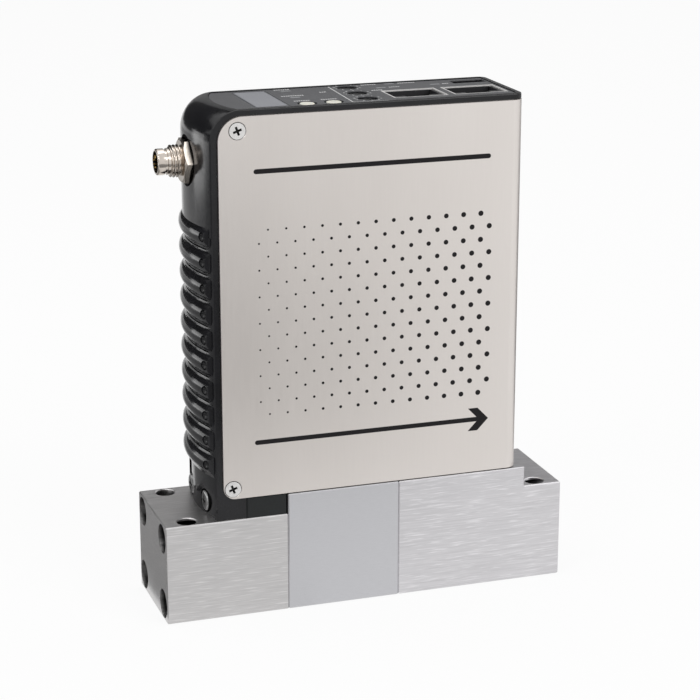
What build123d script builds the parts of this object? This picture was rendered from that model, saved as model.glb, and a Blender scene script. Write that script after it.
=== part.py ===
from build123d import *
from math import asin, atan, cos, degrees, radians, sin, sqrt
import os

# Thermal mass flow controller for a downported 1.125 in surface-mount gas panel.
# Frame: +X along the gas flow, +Y to the back, +Z up, millimetres.
# The origin is the centre of the base blocks' bottom face.

# ---------------------------------------------------------------- base blocks
BASE_LENGTH = 105.0
BASE_WIDTH = 28.0
LOW_TOP = 25.4
HIGH_TOP = 30.6
INLET_SEAM_X = -21.1
OUTLET_SEAM_X = 8.1
STEP_INSET = 10.15
BLOCK_EDGE = 0.25

MOUNT_EDGE_X = 6.145
MOUNT_EDGE_Y = 3.08
PORT_MOUNT_STEP = 10.92
MOUNT_HOLE_R = 2.4
MOUNT_HOLE_EDGE = 0.2

TIE_EDGE_Y = 4.0
TIE_EDGE_Z = 4.1
TIE_HEAD_R = 3.45
TIE_HEAD_H = 4.0
TIE_POCKET_R = 3.7
TIE_POCKET_DEPTH = 13.2
TIE_R = 2.0
TIE_HOLE_R = 2.2
TIE_GRIP = 8.0
TIE_KEY_ACROSS = 3.0
TIE_KEY_DEPTH = 2.0

# ---------------------------------------------------------------- gas way
GAS_Z = 12.7
GAS_R = 2.3
PORT_SEAL_R = 4.8
PORT_SEAL_DEPTH = 1.1
SEAL_RING_R = 4.5
SEAL_RING_BORE_R = 3.0
SEAL_RING_H = 1.6
SEAL_POCKET_GAP = 0.1

# ---------------------------------------------------------------- cover sheet
SHEET = 0.8
COVER_RIGHT_X = 40.2
COVER_GAP = 0.35
COVER_BEND_R = 3.0
COVER_TOP_CORNER_R = 6.0
COVER_LOW_CORNER_R = 3.0
COVER_STRIP = 1.8
COVER_TOP_REVEAL = 1.5

COVER_SCREW_TOP_X = -32.8
COVER_SCREW_TOP_DROP = 3.4
COVER_SCREW_LOW_X = -35.2
COVER_SCREW_LOW_RISE = 2.55
COVER_SCREW_HEAD_R = 2.0
COVER_SCREW_R = 1.25
COVER_SCREW_LENGTH = 7.0
COVER_SINK_GAP = 0.2
COVER_SCREW_CROSS = 2.2
COVER_SCREW_CROSS_W = 0.58
COVER_SCREW_CROSS_DEPTH = 0.95
COVER_SCREW_TURN = 20.0

# ---------------------------------------------------------------- moulded housing
HOUSING_TOP = 127.3
BOW_R = 36.0
BOW_APEX_X = -41.9
SHOULDER_R = 7.5
RIM_EDGE_R = 0.35
LIP_GAP = 0.2
RIB_ZONE_DROP = 0.3
RECESS_DEPTH = 1.0
RECESS_EDGE = 1.1
WALL = 2.2
SIDE_STRIP_LENGTH = 3.4
SIDE_STRIP_WALL = 1.8
PLATE_T = 4.0
SCREW_RAIL_X = -29.4
SCREW_RAIL_H = 4.4
FOOT_X = -31.7
FOOT_RAIL_TOP = 37.0

RIB_COUNT = 10
RIB_TOP_Z = 96.8
RIB_PITCH = 6.38
RIB_R = 3.0
RIB_PROUD = 0.95
RIB_DEPTH = 1.4
RIB_SINK = 0.8
RIB_END_R = 1.4
DIMPLE_R = 1.2
DIMPLE_EDGE = 1.4
SLOT_H = 0.35
SLOT_DEPTH = 0.6
SLOT_END_EDGE = 1.9

FOOT_SCREW_SPACING = 13.0
FOOT_SCREW_RISE = 3.3
FOOT_SCREW_HEAD_R = 2.6
FOOT_SCREW_HEAD_H = 1.3
FOOT_SCREW_HEAD_EDGE = 0.6
FOOT_SCREW_CROSS = 2.6
FOOT_SCREW_CROSS_W = 0.6
FOOT_SCREW_CROSS_DEPTH = 0.8
FOOT_SCREW_R = 1.5
FOOT_SCREW_GRIP = 3.6
FOOT_SEAT_DEPTH = 0.85
FOOT_HOLE_GAP = 0.15
FOOT_POCKET_GAP = 0.4
BRACKET_SIDE_GAP = 0.4
BRACKET_EDGE = 0.3
BRACKET_GAP = 0.2
BRACKET_SCREW_R = 1.25
BRACKET_SCREW_SPACING = 7.0
BRACKET_SCREW_GRIP = 5.0
BRACKET_SCREW_INSET = 3.2
BRACKET_SCREW_SINK = 2.0
BRACKET_SCREW_HEAD_R = 2.4
BRACKET_SCREW_HEAD_H = 1.6
BRACKET_SCREW_POCKET_R = 2.5
BRACKET_SCREW_KEY = 1.5
BRACKET_SCREW_KEY_DEPTH = 1.0

# ---------------------------------------------------------------- top panel
RIM_WIDTH = 1.25
RIM_END_WIDTH = 0.8
LABEL_INSET = 0.45
LABEL_T = 0.25
LABEL_LEFT_INSET = 7.1
PANEL_GAP = 0.15

DISPLAY_X = -23.05
DISPLAY_LENGTH = 8.5
DISPLAY_INSET = 1.3
DISPLAY_GLASS_T = 0.8
DISPLAY_GLASS_EDGE = 0.1
DISPLAY_CASE_GAP = 0.3
DISPLAY_BEZEL = 0.8
DISPLAY_BEZEL_DEPTH = 0.4

BUTTON_X = -10.65
BUTTON_INSET = 3.15
BUTTON_SPACING = 6.7
BUTTON_R = 1.85
BUTTON_WELL_R = 2.45
BUTTON_FLANGE_R = 2.9
BUTTON_FLANGE_H = 0.5
BUTTON_STEM_R = 1.0
BUTTON_STEM_RISE = 0.9
BUTTON_EDGE_R = 0.3
BUTTON_SWITCH_SIZE = 4.6
BUTTON_SWITCH_H = 1.4
BUTTON_SWITCH_GAP = 0.1
BUTTON_TRAVEL = 0.4
BUTTON_RECESS = 0.15

DIAL_X = 1.9
DIAL_BACK_INSET = 3.05
DIAL_FRONT_INSET = 4.85
DIAL_R = 2.2
DIAL_GAP = 0.05
DIAL_WELL_R = 2.55
DIAL_SIT = 1.2
DIAL_NOTCHES = 10
DIAL_NOTCH_R = 0.36
DIAL_RECESS = 0.4
DIAL_SLOT_LENGTH = 2.8
DIAL_SLOT_WIDTH = 0.6
DIAL_SLOT_DEPTH = 0.7
DIAL_ARROW_R = 0.75
DIAL_ARROW_OUT = 1.0
DIAL_SWITCH_GAP = 1.0
SWITCH_TOP_GAP = 0.1

LIGHT_EDGE_INSET = 0.95
LIGHT_ROW_INSET = 5.75
LIGHT_PORT_INSET = 5.15
LIGHT_MID_STEP = 6.9
LIGHT_LENGTH = 2.5
LIGHT_WIDTH = 1.0

JACK_X = 23.1
JACK_INSET = 8.65
JACK_SPACING = 15.7
JACK_LENGTH = 15.2
JACK_WIDTH = 13.2
JACK_COLLAR_LENGTH = 14.0
JACK_COLLAR_WIDTH = 10.6
JACK_HEIGHT = 14.4
JACK_SHEET = 0.4
PLUG_LENGTH = 11.8
PLUG_WIDTH = 6.5
PLUG_DEPTH = 12.0
PLUG_OFFSET_Y = 1.55
LATCH_LENGTH = 6.2
LATCH_WIDTH = 1.6
LATCH_KEY_LENGTH = 3.4
LATCH_KEY_WIDTH = 1.2
CONTACT_COUNT = 8
CONTACT_PITCH = 1.02
CONTACT_SIZE = 0.45
CONTACT_HEIGHT = 8.0

PORT_X = 33.8
PORT_INSET = 3.75
PORT_LENGTH = 7.8
PORT_WIDTH = 3.0
PORT_SHEET = 0.35
PORT_RECESS = 1.2
PORT_DEPTH = 6.0
PORT_WELL_LENGTH = 8.8
PORT_WELL_WIDTH = 3.8
PORT_TONGUE_WIDTH = 0.7

# ---------------------------------------------------------------- boards
BOARD_T = 1.4
PANEL_BOARD_DROP = 2.7
PANEL_BOARD_LEFT_X = -28.5
PANEL_BOARD_RIGHT_X = 5.9
NETWORK_BOARD_LEFT_X = -8.0
BOARD_SIDE_GAP = 1.4
PANEL_POST_R = 1.3
PANEL_POST_INSET = 2.4
SPACER_R = 2.0
SPACER_INSET = 2.4
MAIN_BOARD_T = 1.2
MAIN_BOARD_INSET = 2.2
MAIN_BOARD_LEFT_X = -31.0
MAIN_BOARD_HEADROOM = 1.0
CHIP_T = 1.4
PROCESSOR_X = -7.0
PROCESSOR_RISE = 11.0
PROCESSOR_SIZE = 14.0
MEMORY_X = -22.5
MEMORY_DROP = 5.0
MEMORY_LENGTH = 7.0
MEMORY_HEIGHT = 14.0
DRIVER_X = 19.0
DRIVER_RISE = 13.0
DRIVER_LENGTH = 10.0
DRIVER_HEIGHT = 6.0
GUIDE_LEFT_X = -18.0
GUIDE_RIGHT_X = 5.0
GUIDE_HEIGHT = 8.5
GUIDE_FLOOR = 5.0
GUIDE_WALL = 0.85
GUIDE_SLOT_GAP = 0.05
GUIDE_PEG_R = 1.0
GUIDE_PEG_LENGTH = 3.0
HEADER_WIDTH = 2.6
HEADER_HEIGHT = 5.0
HEADER_LEFT_X = 12.0
HEADER_RIGHT_X = 32.0

# ---------------------------------------------------------------- side connector
CONNECTOR_Z = 113.4
CONNECTOR_TIP_X = -49.3
CONNECTOR_THREAD_R = 3.95
CONNECTOR_SHANK_R = 3.8
CONNECTOR_THREAD_END_X = -46.1
CONNECTOR_NOSE_R = 3.2
CONNECTOR_BORE_R = 2.65
CONNECTOR_BORE_DEPTH = 5.2
CONNECTOR_GROOVE_X = -47.1
CONNECTOR_GROOVE_DEPTH = 0.35
CONNECTOR_GROOVE_WIDTH = 0.6
CONNECTOR_SEAT_X = -40.8
CONNECTOR_SEAT_R = 6.3
CONNECTOR_BACK_SEAT_X = -37.4
CONNECTOR_FLANGE_R = 5.4
CONNECTOR_FLANGE_T = 1.5
CONNECTOR_TAIL_R = 3.6
CONNECTOR_TAIL_LENGTH = 5.0
CONNECTOR_HOLE_GAP = 0.1
CONNECTOR_GASKET_T = 0.8
NUT_ACROSS = 10.1
NUT_T = 2.5
NUT_EDGE = 0.5
PIN_COUNT = 4
PIN_CIRCLE_R = 1.35
PIN_R = 0.4
PIN_LENGTH = 4.2

# ---------------------------------------------------------------- flow sensor
SENSOR_X = -6.5
SENSOR_BASE_LENGTH = 26.0
SENSOR_BASE_GAP = 0.6
SENSOR_BASE_T = 4.0
SENSOR_TAP_SPACING = 9.0
SENSOR_TAP_R = 0.6
SENSOR_TUBE_R = 0.5
SENSOR_TUBE_BORE_R = 0.25
SENSOR_TUBE_RISE = 24.0
SENSOR_TUBE_BEND_R = 2.0
SENSOR_WINDING_R = 0.95
SENSOR_WINDING_LENGTH = 2.0
SENSOR_WINDING_SPACING = 2.4
SENSOR_CAN_LENGTH = 14.6
SENSOR_CAN_WIDTH = 14.0
SENSOR_CAN_HEIGHT = 28.0
SENSOR_CAN_WALL = 0.8
SENSOR_SCREW_SPACING = 20.0
SENSOR_SCREW_R = 1.5
SENSOR_SCREW_HEAD_R = 2.5
SENSOR_SCREW_HEAD_H = 2.0
SENSOR_SCREW_GRIP = 5.0
SENSOR_SEAL_R = 1.8
SENSOR_SEAL_H = 0.9

SPLITTER_R = 4.75
SPLITTER_GAP = 0.03
SPLITTER_CORE_R = 3.6
SPLITTER_LENGTH = 15.0
SPLITTER_FINS = 12
SPLITTER_FIN_T = 0.9

# ---------------------------------------------------------------- control valve
VALVE_X = 25.2
VALVE_FLANGE_INSET = 1.2
VALVE_FLANGE_EDGE = 1.5
VALVE_FLANGE_T = 5.0
VALVE_SCREW_INSET = 2.7
VALVE_SCREW_R = 1.5
VALVE_SCREW_HEAD_R = 2.5
VALVE_SCREW_HEAD_H = 2.4
VALVE_SCREW_GRIP = 5.5
VALVE_CHAMBER_R = 6.6
VALVE_CHAMBER_DEPTH = 1.0
VALVE_SEAT_R = 3.5
VALVE_SEAT_DEPTH = 2.4
VALVE_NOZZLE_R = 1.4
VALVE_NOZZLE_RISE = 1.2
VALVE_ORIFICE_R = 0.5
VALVE_OUTLET_R = 1.2
VALVE_TUBE_RATIO = 0.57
VALVE_TUBE_WALL = 0.75
PLUNGER_GAP = 0.05
PLUNGER_LENGTH = 15.5
PLUNGER_LIFT = 0.25
PLUNGER_STOP_GAP = 0.25
PLUNGER_SEAL_R = 2.5
PLUNGER_SEAL_T = 0.8
PLUNGER_SEAT_GAP = 0.05
SPRING_R = 2.1
SPRING_WIRE_R = 0.3
SPRING_TURNS = 4
SPRING_POCKET_R = 2.8
SPRING_POCKET_DEPTH = 7.0
CORE_LENGTH = 12.0
STUD_R = 2.5
STUD_LENGTH = 5.5
COIL_INSET = 1.2
COIL_WALL = 0.9
COIL_SPOOL_GAP = 0.1
YOKE_SCREW_GAP = 0.15
YOKE_WALL = 1.1
VALVE_NUT_ACROSS = 8.0
VALVE_NUT_T = 3.0
VALVE_GASKET_R = 8.2
VALVE_GASKET_BORE_R = 7.0
VALVE_GASKET_T = 0.9

# ---------------------------------------------------------------- worked-out places
HALF_LENGTH = BASE_LENGTH / 2
HALF_WIDTH = BASE_WIDTH / 2
STEP_X = HALF_LENGTH - STEP_INSET
MOUNT_SPACING_X = BASE_LENGTH - 2 * MOUNT_EDGE_X
MOUNT_SPACING_Y = BASE_WIDTH - 2 * MOUNT_EDGE_Y
TIE_SPACING_Y = BASE_WIDTH - 2 * TIE_EDGE_Y
TIE_SPACING_Z = LOW_TOP - 2 * TIE_EDGE_Z
SHELL_HALF = HALF_WIDTH - SHEET
BOW_X = BOW_APEX_X + BOW_R
SHELL_EDGE_X = BOW_X - sqrt(BOW_R**2 - SHELL_HALF**2)
SHELL_RIGHT_X = COVER_RIGHT_X - SHEET
SIDE_STRIP_X = SHELL_EDGE_X + SIDE_STRIP_LENGTH
RECESS_R = BOW_R - RECESS_DEPTH
INNER_R = RECESS_R - WALL
COVER_LEFT_X = SHELL_EDGE_X + COVER_STRIP
COVER_BOTTOM = HIGH_TOP + COVER_GAP
COVER_TOP = HOUSING_TOP - COVER_TOP_REVEAL
PLATE_UNDER = HOUSING_TOP - PLATE_T
LABEL_FLOOR = HOUSING_TOP - LABEL_INSET
LABEL_TOP = LABEL_FLOOR + LABEL_T
LABEL_HALF = SHELL_HALF - RIM_WIDTH
RECESS_HALF_WIDTH = SHELL_HALF - RECESS_EDGE
SLOT_HALF_SPAN = RECESS_HALF_WIDTH - SLOT_END_EDGE
BRACKET_HALF_WIDTH = HALF_WIDTH - BRACKET_SIDE_GAP
DISPLAY_WIDTH = 2 * (LABEL_HALF - DISPLAY_INSET)
BUTTON_Y = BUTTON_INSET - LABEL_HALF
JACK_Y = JACK_INSET - LABEL_HALF
PORT_Y = LABEL_HALF - PORT_INSET
MAIN_BOARD_Y = SHELL_HALF - MAIN_BOARD_INSET
SENSOR_BASE_WIDTH = 2 * (MAIN_BOARD_Y - GUIDE_SLOT_GAP - GUIDE_WALL - SENSOR_BASE_GAP)
LABEL_R = BOW_R - LABEL_LEFT_INSET
LABEL_RIGHT_X = SHELL_RIGHT_X - RIM_END_WIDTH
PORT_SPACING_X = MOUNT_SPACING_X - 2 * PORT_MOUNT_STEP
PANEL_BOARD_TOP = PLATE_UNDER - PANEL_BOARD_DROP
NETWORK_BOARD_TOP = LABEL_TOP - JACK_HEIGHT
NETWORK_BOARD_RIGHT_X = SHELL_RIGHT_X - 0.6
BOARD_HALF = SHELL_HALF - BOARD_SIDE_GAP
TIE_SEAT_X = HALF_LENGTH - TIE_POCKET_DEPTH
BLOCK_MID_Z = LOW_TOP / 2
COVER_SCREWS = [
    (COVER_SCREW_TOP_X, COVER_TOP - COVER_SCREW_TOP_DROP),
    (COVER_SCREW_LOW_X, COVER_BOTTOM + COVER_SCREW_LOW_RISE),
]
DIAL_BACK_Y = LABEL_HALF - DIAL_BACK_INSET
DIAL_FRONT_Y = DIAL_FRONT_INSET - LABEL_HALF
DIALS_Y = [DIAL_BACK_Y, (DIAL_BACK_Y + DIAL_FRONT_Y) / 2, DIAL_FRONT_Y]
DIAL_SWITCH_SIZE = (DIAL_BACK_Y - DIAL_FRONT_Y) / 2 - DIAL_SWITCH_GAP
BUTTONS_X = [BUTTON_X - BUTTON_SPACING / 2, BUTTON_X + BUTTON_SPACING / 2]
JACKS_X = [JACK_X - JACK_SPACING / 2, JACK_X + JACK_SPACING / 2]
PANEL_LIGHTS = [(-13.9, DIAL_BACK_Y), (-14.3, DIAL_FRONT_Y + LIGHT_MID_STEP)]
NETWORK_LIGHTS = [
    (13.7, LABEL_HALF - LIGHT_EDGE_INSET),
    (9.9, LABEL_HALF - LIGHT_ROW_INSET),
    (24.4, LABEL_HALF - LIGHT_PORT_INSET),
]
PANEL_POSTS = [
    (-17.3, BOARD_HALF / 3),
    (-9.0, BOARD_HALF - PANEL_POST_INSET),
    (-9.0, -BOARD_HALF / 6),
]
VALVE_FLANGE_SIZE = 2 * (SHELL_HALF - VALVE_FLANGE_INSET)
VALVE_SCREW_SPACING = VALVE_FLANGE_SIZE - 2 * VALVE_SCREW_INSET
YOKE_R = VALVE_SCREW_SPACING / sqrt(2) - VALVE_SCREW_HEAD_R - YOKE_SCREW_GAP
COIL_R = YOKE_R - COIL_INSET
VALVE_TUBE_R = VALVE_TUBE_RATIO * COIL_R
PLUNGER_R = VALVE_TUBE_R - VALVE_TUBE_WALL - PLUNGER_GAP


# ---------------------------------------------------------------- plain shapes
def block(x0, x1, y0, y1, z0, z1):
    """A box between two corners."""
    size = Box(x1 - x0, y1 - y0, z1 - z0)
    return Pos((x0 + x1) / 2, (y0 + y1) / 2, (z0 + z1) / 2) * size


def slab(x, y, length, width, z0, z1):
    """A box centred on a point of the plan."""
    return block(x - length / 2, x + length / 2, y - width / 2, y + width / 2, z0, z1)


def rod_x(radius, x0, x1, y=0.0, z=0.0):
    """A round bar along X."""
    return Pos((x0 + x1) / 2, y, z) * Rot(0, 90, 0) * Cylinder(radius, abs(x1 - x0))


def rod_y(radius, y0, y1, x=0.0, z=0.0):
    """A round bar along Y."""
    return Pos(x, (y0 + y1) / 2, z) * Rot(90, 0, 0) * Cylinder(radius, abs(y1 - y0))


def rod_z(radius, z0, z1, x=0.0, y=0.0):
    """A round bar along Z."""
    return Pos(x, y, (z0 + z1) / 2) * Cylinder(radius, abs(z1 - z0))


def cone_z(r_low, r_high, z0, z1, x=0.0, y=0.0):
    """A taper along Z."""
    return Pos(x, y, (z0 + z1) / 2) * Cone(r_low, r_high, z1 - z0)


def slant(radius, start, end):
    """A round bar from one point to another."""
    run = Vector(*end) - Vector(*start)
    return extrude(Plane(origin=start, z_dir=run) * Circle(radius), run.length)


def hexagon(across, thickness):
    """A hexagonal prism about Z, one corner towards +X."""
    corner_r = across / sqrt(3)
    return extrude(RegularPolygon(corner_r, 6), thickness)


def solids_of(shapes):
    """Every solid of some shapes, in one flat list."""
    return [solid for shape in shapes for solid in shape.solids()]


def save(name, *shapes):
    """Write one sub-part, which may be a group of like solids."""
    export_step(Compound(children=solids_of(shapes)), f"parts/{name}.step")


# ---------------------------------------------------------------- base blocks
def tie_holes(side, seat_x, mouth_x, seam_x, grip_x):
    """Pockets and clearance holes of the four tie screws that enter one end."""
    cuts = []
    for y in (-TIE_SPACING_Y / 2, TIE_SPACING_Y / 2):
        for z in (BLOCK_MID_Z - TIE_SPACING_Z / 2, BLOCK_MID_Z + TIE_SPACING_Z / 2):
            cuts.append(rod_x(TIE_POCKET_R, mouth_x + side, seat_x, y, z))
            cuts.append(rod_x(TIE_HOLE_R, seat_x, seam_x, y, z))
            cuts.append(rod_x(TIE_R, seam_x, grip_x, y, z))
    return cuts


def mount_holes(side):
    """The two screw holes that fix one end to the gas panel."""
    x = side * MOUNT_SPACING_X / 2
    cuts = []
    for y in (-MOUNT_SPACING_Y / 2, MOUNT_SPACING_Y / 2):
        cuts.append(rod_z(MOUNT_HOLE_R, -1, LOW_TOP + 1, x, y))
        wide = MOUNT_HOLE_R + MOUNT_HOLE_EDGE
        cuts.append(cone_z(MOUNT_HOLE_R, wide, LOW_TOP - MOUNT_HOLE_EDGE, LOW_TOP, x, y))
    return cuts


def gas_port(side, top_z):
    """A downward port with its seal pocket."""
    x = side * PORT_SPACING_X / 2
    return [
        rod_z(PORT_SEAL_R, -1, PORT_SEAL_DEPTH, x),
        rod_z(GAS_R, 0, top_z, x),
    ]


def seal_pocket(seam_x):
    """Half of the ring pocket on each side of a seam."""
    half = SEAL_RING_H / 2
    return rod_x(SEAL_RING_R + SEAL_POCKET_GAP, seam_x - half, seam_x + half, 0, GAS_Z)


def edged(solid):
    """A machined block with its outer edges broken."""
    return chamfer(solid.edges(), BLOCK_EDGE)


def inlet_block():
    body = edged(block(-HALF_LENGTH, INLET_SEAM_X, -HALF_WIDTH, HALF_WIDTH, 0, LOW_TOP))
    cuts = tie_holes(-1, -TIE_SEAT_X, -HALF_LENGTH, INLET_SEAM_X, INLET_SEAM_X + 1)
    cuts += mount_holes(-1) + gas_port(-1, GAS_Z)
    cuts.append(rod_x(GAS_R, -PORT_SPACING_X / 2, INLET_SEAM_X + 1, 0, GAS_Z))
    cuts.append(seal_pocket(INLET_SEAM_X))
    for y in (-BRACKET_SCREW_SPACING / 2, BRACKET_SCREW_SPACING / 2):
        x = INLET_SEAM_X - BRACKET_SCREW_INSET
        cuts.append(rod_z(BRACKET_SCREW_R, LOW_TOP - BRACKET_SCREW_GRIP, LOW_TOP + 1, x, y))
    return body - cuts


def centre_block():
    body = edged(block(INLET_SEAM_X, OUTLET_SEAM_X, -HALF_WIDTH, HALF_WIDTH, 0, HIGH_TOP))
    cuts = [seal_pocket(INLET_SEAM_X), seal_pocket(OUTLET_SEAM_X)]
    for y in (-TIE_SPACING_Y / 2, TIE_SPACING_Y / 2):
        for z in (BLOCK_MID_Z - TIE_SPACING_Z / 2, BLOCK_MID_Z + TIE_SPACING_Z / 2):
            cuts.append(rod_x(TIE_R, INLET_SEAM_X - 1, INLET_SEAM_X + TIE_GRIP, y, z))
            cuts.append(rod_x(TIE_R, OUTLET_SEAM_X - TIE_GRIP, OUTLET_SEAM_X + 1, y, z))
    splitter_end = SENSOR_X + SPLITTER_LENGTH / 2
    bore_r = SPLITTER_R + SPLITTER_GAP
    cuts.append(rod_x(SEAL_RING_BORE_R, INLET_SEAM_X, SENSOR_X, 0, GAS_Z))
    cuts.append(rod_x(bore_r, SENSOR_X - SPLITTER_LENGTH / 2, splitter_end, 0, GAS_Z))
    cuts.append(rod_x(GAS_R, splitter_end, OUTLET_SEAM_X + 1, 0, GAS_Z))
    for side in (-1, 1):
        tap_x = SENSOR_X + side * SENSOR_TAP_SPACING / 2
        cuts.append(rod_z(SENSOR_TAP_R, GAS_Z, HIGH_TOP + 1, tap_x))
        screw_x = SENSOR_X + side * SENSOR_SCREW_SPACING / 2
        floor = HIGH_TOP - SENSOR_SCREW_GRIP
        cuts.append(rod_z(SENSOR_SCREW_R, floor, HIGH_TOP + 1, screw_x))
    for x in guide_pegs_x():
        floor = HIGH_TOP - GUIDE_PEG_LENGTH
        cuts.append(rod_z(GUIDE_PEG_R, floor, HIGH_TOP + 1, x, guide_y()))
    return body - cuts


def outlet_block():
    low = block(OUTLET_SEAM_X, HALF_LENGTH, -HALF_WIDTH, HALF_WIDTH, 0, LOW_TOP)
    high = block(OUTLET_SEAM_X, STEP_X, -HALF_WIDTH, HALF_WIDTH, 0, HIGH_TOP)
    outer = low + high
    foot_of_step = outer.edges().filter_by(Axis.Y).filter_by_position(
        Axis.Z, LOW_TOP - 0.1, LOW_TOP + 0.1).sort_by(Axis.X)[0]
    body = chamfer([e for e in outer.edges() if e != foot_of_step], BLOCK_EDGE)
    cuts = tie_holes(1, TIE_SEAT_X, HALF_LENGTH, OUTLET_SEAM_X, OUTLET_SEAM_X - 1)
    cuts += mount_holes(1) + gas_port(1, GAS_Z)
    cuts.append(rod_x(GAS_R, OUTLET_SEAM_X - 1, VALVE_X, 0, GAS_Z))
    cuts.append(seal_pocket(OUTLET_SEAM_X))
    chamber_z = HIGH_TOP - VALVE_CHAMBER_DEPTH
    seat_z = chamber_z - VALVE_SEAT_DEPTH
    cuts.append(rod_z(VALVE_CHAMBER_R, chamber_z, HIGH_TOP + 1, VALVE_X))
    cuts.append(rod_z(VALVE_SEAT_R, seat_z, HIGH_TOP + 1, VALVE_X))
    cuts.append(rod_z(VALVE_NOZZLE_R, GAS_Z, HIGH_TOP, VALVE_X))
    outlet_start = (VALVE_X + VALVE_CHAMBER_R - VALVE_OUTLET_R, 0, HIGH_TOP)
    cuts.append(slant(VALVE_OUTLET_R, outlet_start, (PORT_SPACING_X / 2, 0, GAS_Z)))
    for x, y in square(VALVE_X, 0, VALVE_SCREW_SPACING):
        cuts.append(rod_z(VALVE_SCREW_R, HIGH_TOP - VALVE_SCREW_GRIP, HIGH_TOP + 1, x, y))
    return body - cuts


def square(x, y, spacing):
    """The four corners of a square of holes."""
    half = spacing / 2
    return [(x + i * half, y + j * half) for i in (-1, 1) for j in (-1, 1)]


def cap_screw(radius, length, head_r, head_h, key_across, key_depth):
    """A hexagon-socket screw: shank down from z = 0, head above it."""
    screw = rod_z(radius, -length, 0) + rod_z(head_r, 0, head_h)
    key = Pos(0, 0, head_h - key_depth) * hexagon(key_across, key_depth + 1)
    return screw - key


def cross_recess(span, width, depth):
    """A cross-shaped driver recess, sunk below z = 0."""
    return Box(span, width, 2 * depth) + Box(width, span, 2 * depth)


def tie_screws(side):
    """The four screws that pull one end block onto the centre block."""
    seam_x = INLET_SEAM_X if side < 0 else OUTLET_SEAM_X
    length = TIE_SEAT_X - side * seam_x + TIE_GRIP
    screw = cap_screw(TIE_R, length, TIE_HEAD_R, TIE_HEAD_H, TIE_KEY_ACROSS, TIE_KEY_DEPTH)
    screws = []
    for y in (-TIE_SPACING_Y / 2, TIE_SPACING_Y / 2):
        for z in (BLOCK_MID_Z - TIE_SPACING_Z / 2, BLOCK_MID_Z + TIE_SPACING_Z / 2):
            screws.append(Pos(side * TIE_SEAT_X, y, z) * Rot(0, side * 90, 0) * screw)
    return screws


def seam_seals():
    half = SEAL_RING_H / 2
    rings = []
    for x in (INLET_SEAM_X, OUTLET_SEAM_X):
        ring = rod_x(SEAL_RING_R, x - half, x + half, 0, GAS_Z)
        rings.append(ring - rod_x(SEAL_RING_BORE_R, x - half, x + half, 0, GAS_Z))
    return rings


# ---------------------------------------------------------------- cover
def cover():
    """A U of bent sheet: front, rounded right end and back."""
    height = COVER_TOP - COVER_BOTTOM
    length = COVER_RIGHT_X - COVER_LEFT_X
    outer = slab((COVER_LEFT_X + COVER_RIGHT_X) / 2, 0, length, BASE_WIDTH, COVER_BOTTOM, COVER_TOP)
    outer = fillet(outer.edges().filter_by(Axis.Z).group_by(Axis.X)[-1], COVER_BEND_R)
    inner = block(COVER_LEFT_X - 1, SHELL_RIGHT_X, -SHELL_HALF, SHELL_HALF, 0, HOUSING_TOP)
    inner = fillet(inner.edges().filter_by(Axis.Z).group_by(Axis.X)[-1], COVER_BEND_R - SHEET)
    side_view = Rectangle(length, height, align=(Align.MIN, Align.MIN))
    corners = side_view.vertices().group_by(Axis.X)[0].sort_by(Axis.Y)
    side_view = fillet(corners[0], COVER_LOW_CORNER_R)
    corners = side_view.vertices().group_by(Axis.Y)[-1].sort_by(Axis.X)
    side_view = fillet(corners[0], COVER_TOP_CORNER_R)
    outline = extrude(Plane.XZ * Pos(COVER_LEFT_X, COVER_BOTTOM) * side_view, BASE_WIDTH, both=True)
    sheet = (outer - inner) & outline
    for x, z in COVER_SCREWS:
        for side in (-1, 1):
            sheet -= countersink(x, z, side)
    return sheet


def countersink(x, z, side):
    """The tapered hole of one cover screw."""
    head_r = COVER_SCREW_HEAD_R + COVER_SINK_GAP
    sink = Cone(head_r - SHEET, head_r, SHEET)
    return Pos(x, side * (HALF_WIDTH - SHEET / 2), z) * Rot(-side * 90, 0, 0) * sink


def cover_screws():
    """Flat-head cross-recess screws, two on each side."""
    head = Cone(COVER_SCREW_HEAD_R - SHEET, COVER_SCREW_HEAD_R, SHEET)
    screw = Pos(0, 0, -SHEET / 2) * head + rod_z(COVER_SCREW_R, -COVER_SCREW_LENGTH, -SHEET / 2)
    recess = cross_recess(COVER_SCREW_CROSS, COVER_SCREW_CROSS_W, COVER_SCREW_CROSS_DEPTH)
    screw -= Rot(0, 0, COVER_SCREW_TURN) * recess
    screws = []
    for x, z in COVER_SCREWS:
        for side in (-1, 1):
            screws.append(Pos(x, side * HALF_WIDTH, z) * Rot(-side * 90, 0, 0) * screw)
    return screws


# ---------------------------------------------------------------- housing
def on_bow(radius, y):
    """X of a point of an arc about the bow's axis."""
    return BOW_X - sqrt(radius**2 - y**2)


def bow_plan(radius, half, right_x):
    """A plan with a bowed left end."""
    edge_x = on_bow(radius, half)
    bow = ThreePointArc((edge_x, half), (BOW_X - radius, 0), (edge_x, -half))
    sides = Polyline((edge_x, -half), (right_x, -half), (right_x, half), (edge_x, half))
    return make_face(Curve() + [bow, sides])


def bow_band(radius, half_span, z, section):
    """A section swept round the bow between two widths."""
    turn = degrees(asin(half_span / radius))
    start = Pos(BOW_X, 0, z) * Rot(0, 0, -turn) * Pos(-radius, 0, 0) * Rot(90, 0, 0) * section
    return revolve(start, Axis((BOW_X, 0, 0), (0, 0, 1)), 2 * turn)


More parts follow.
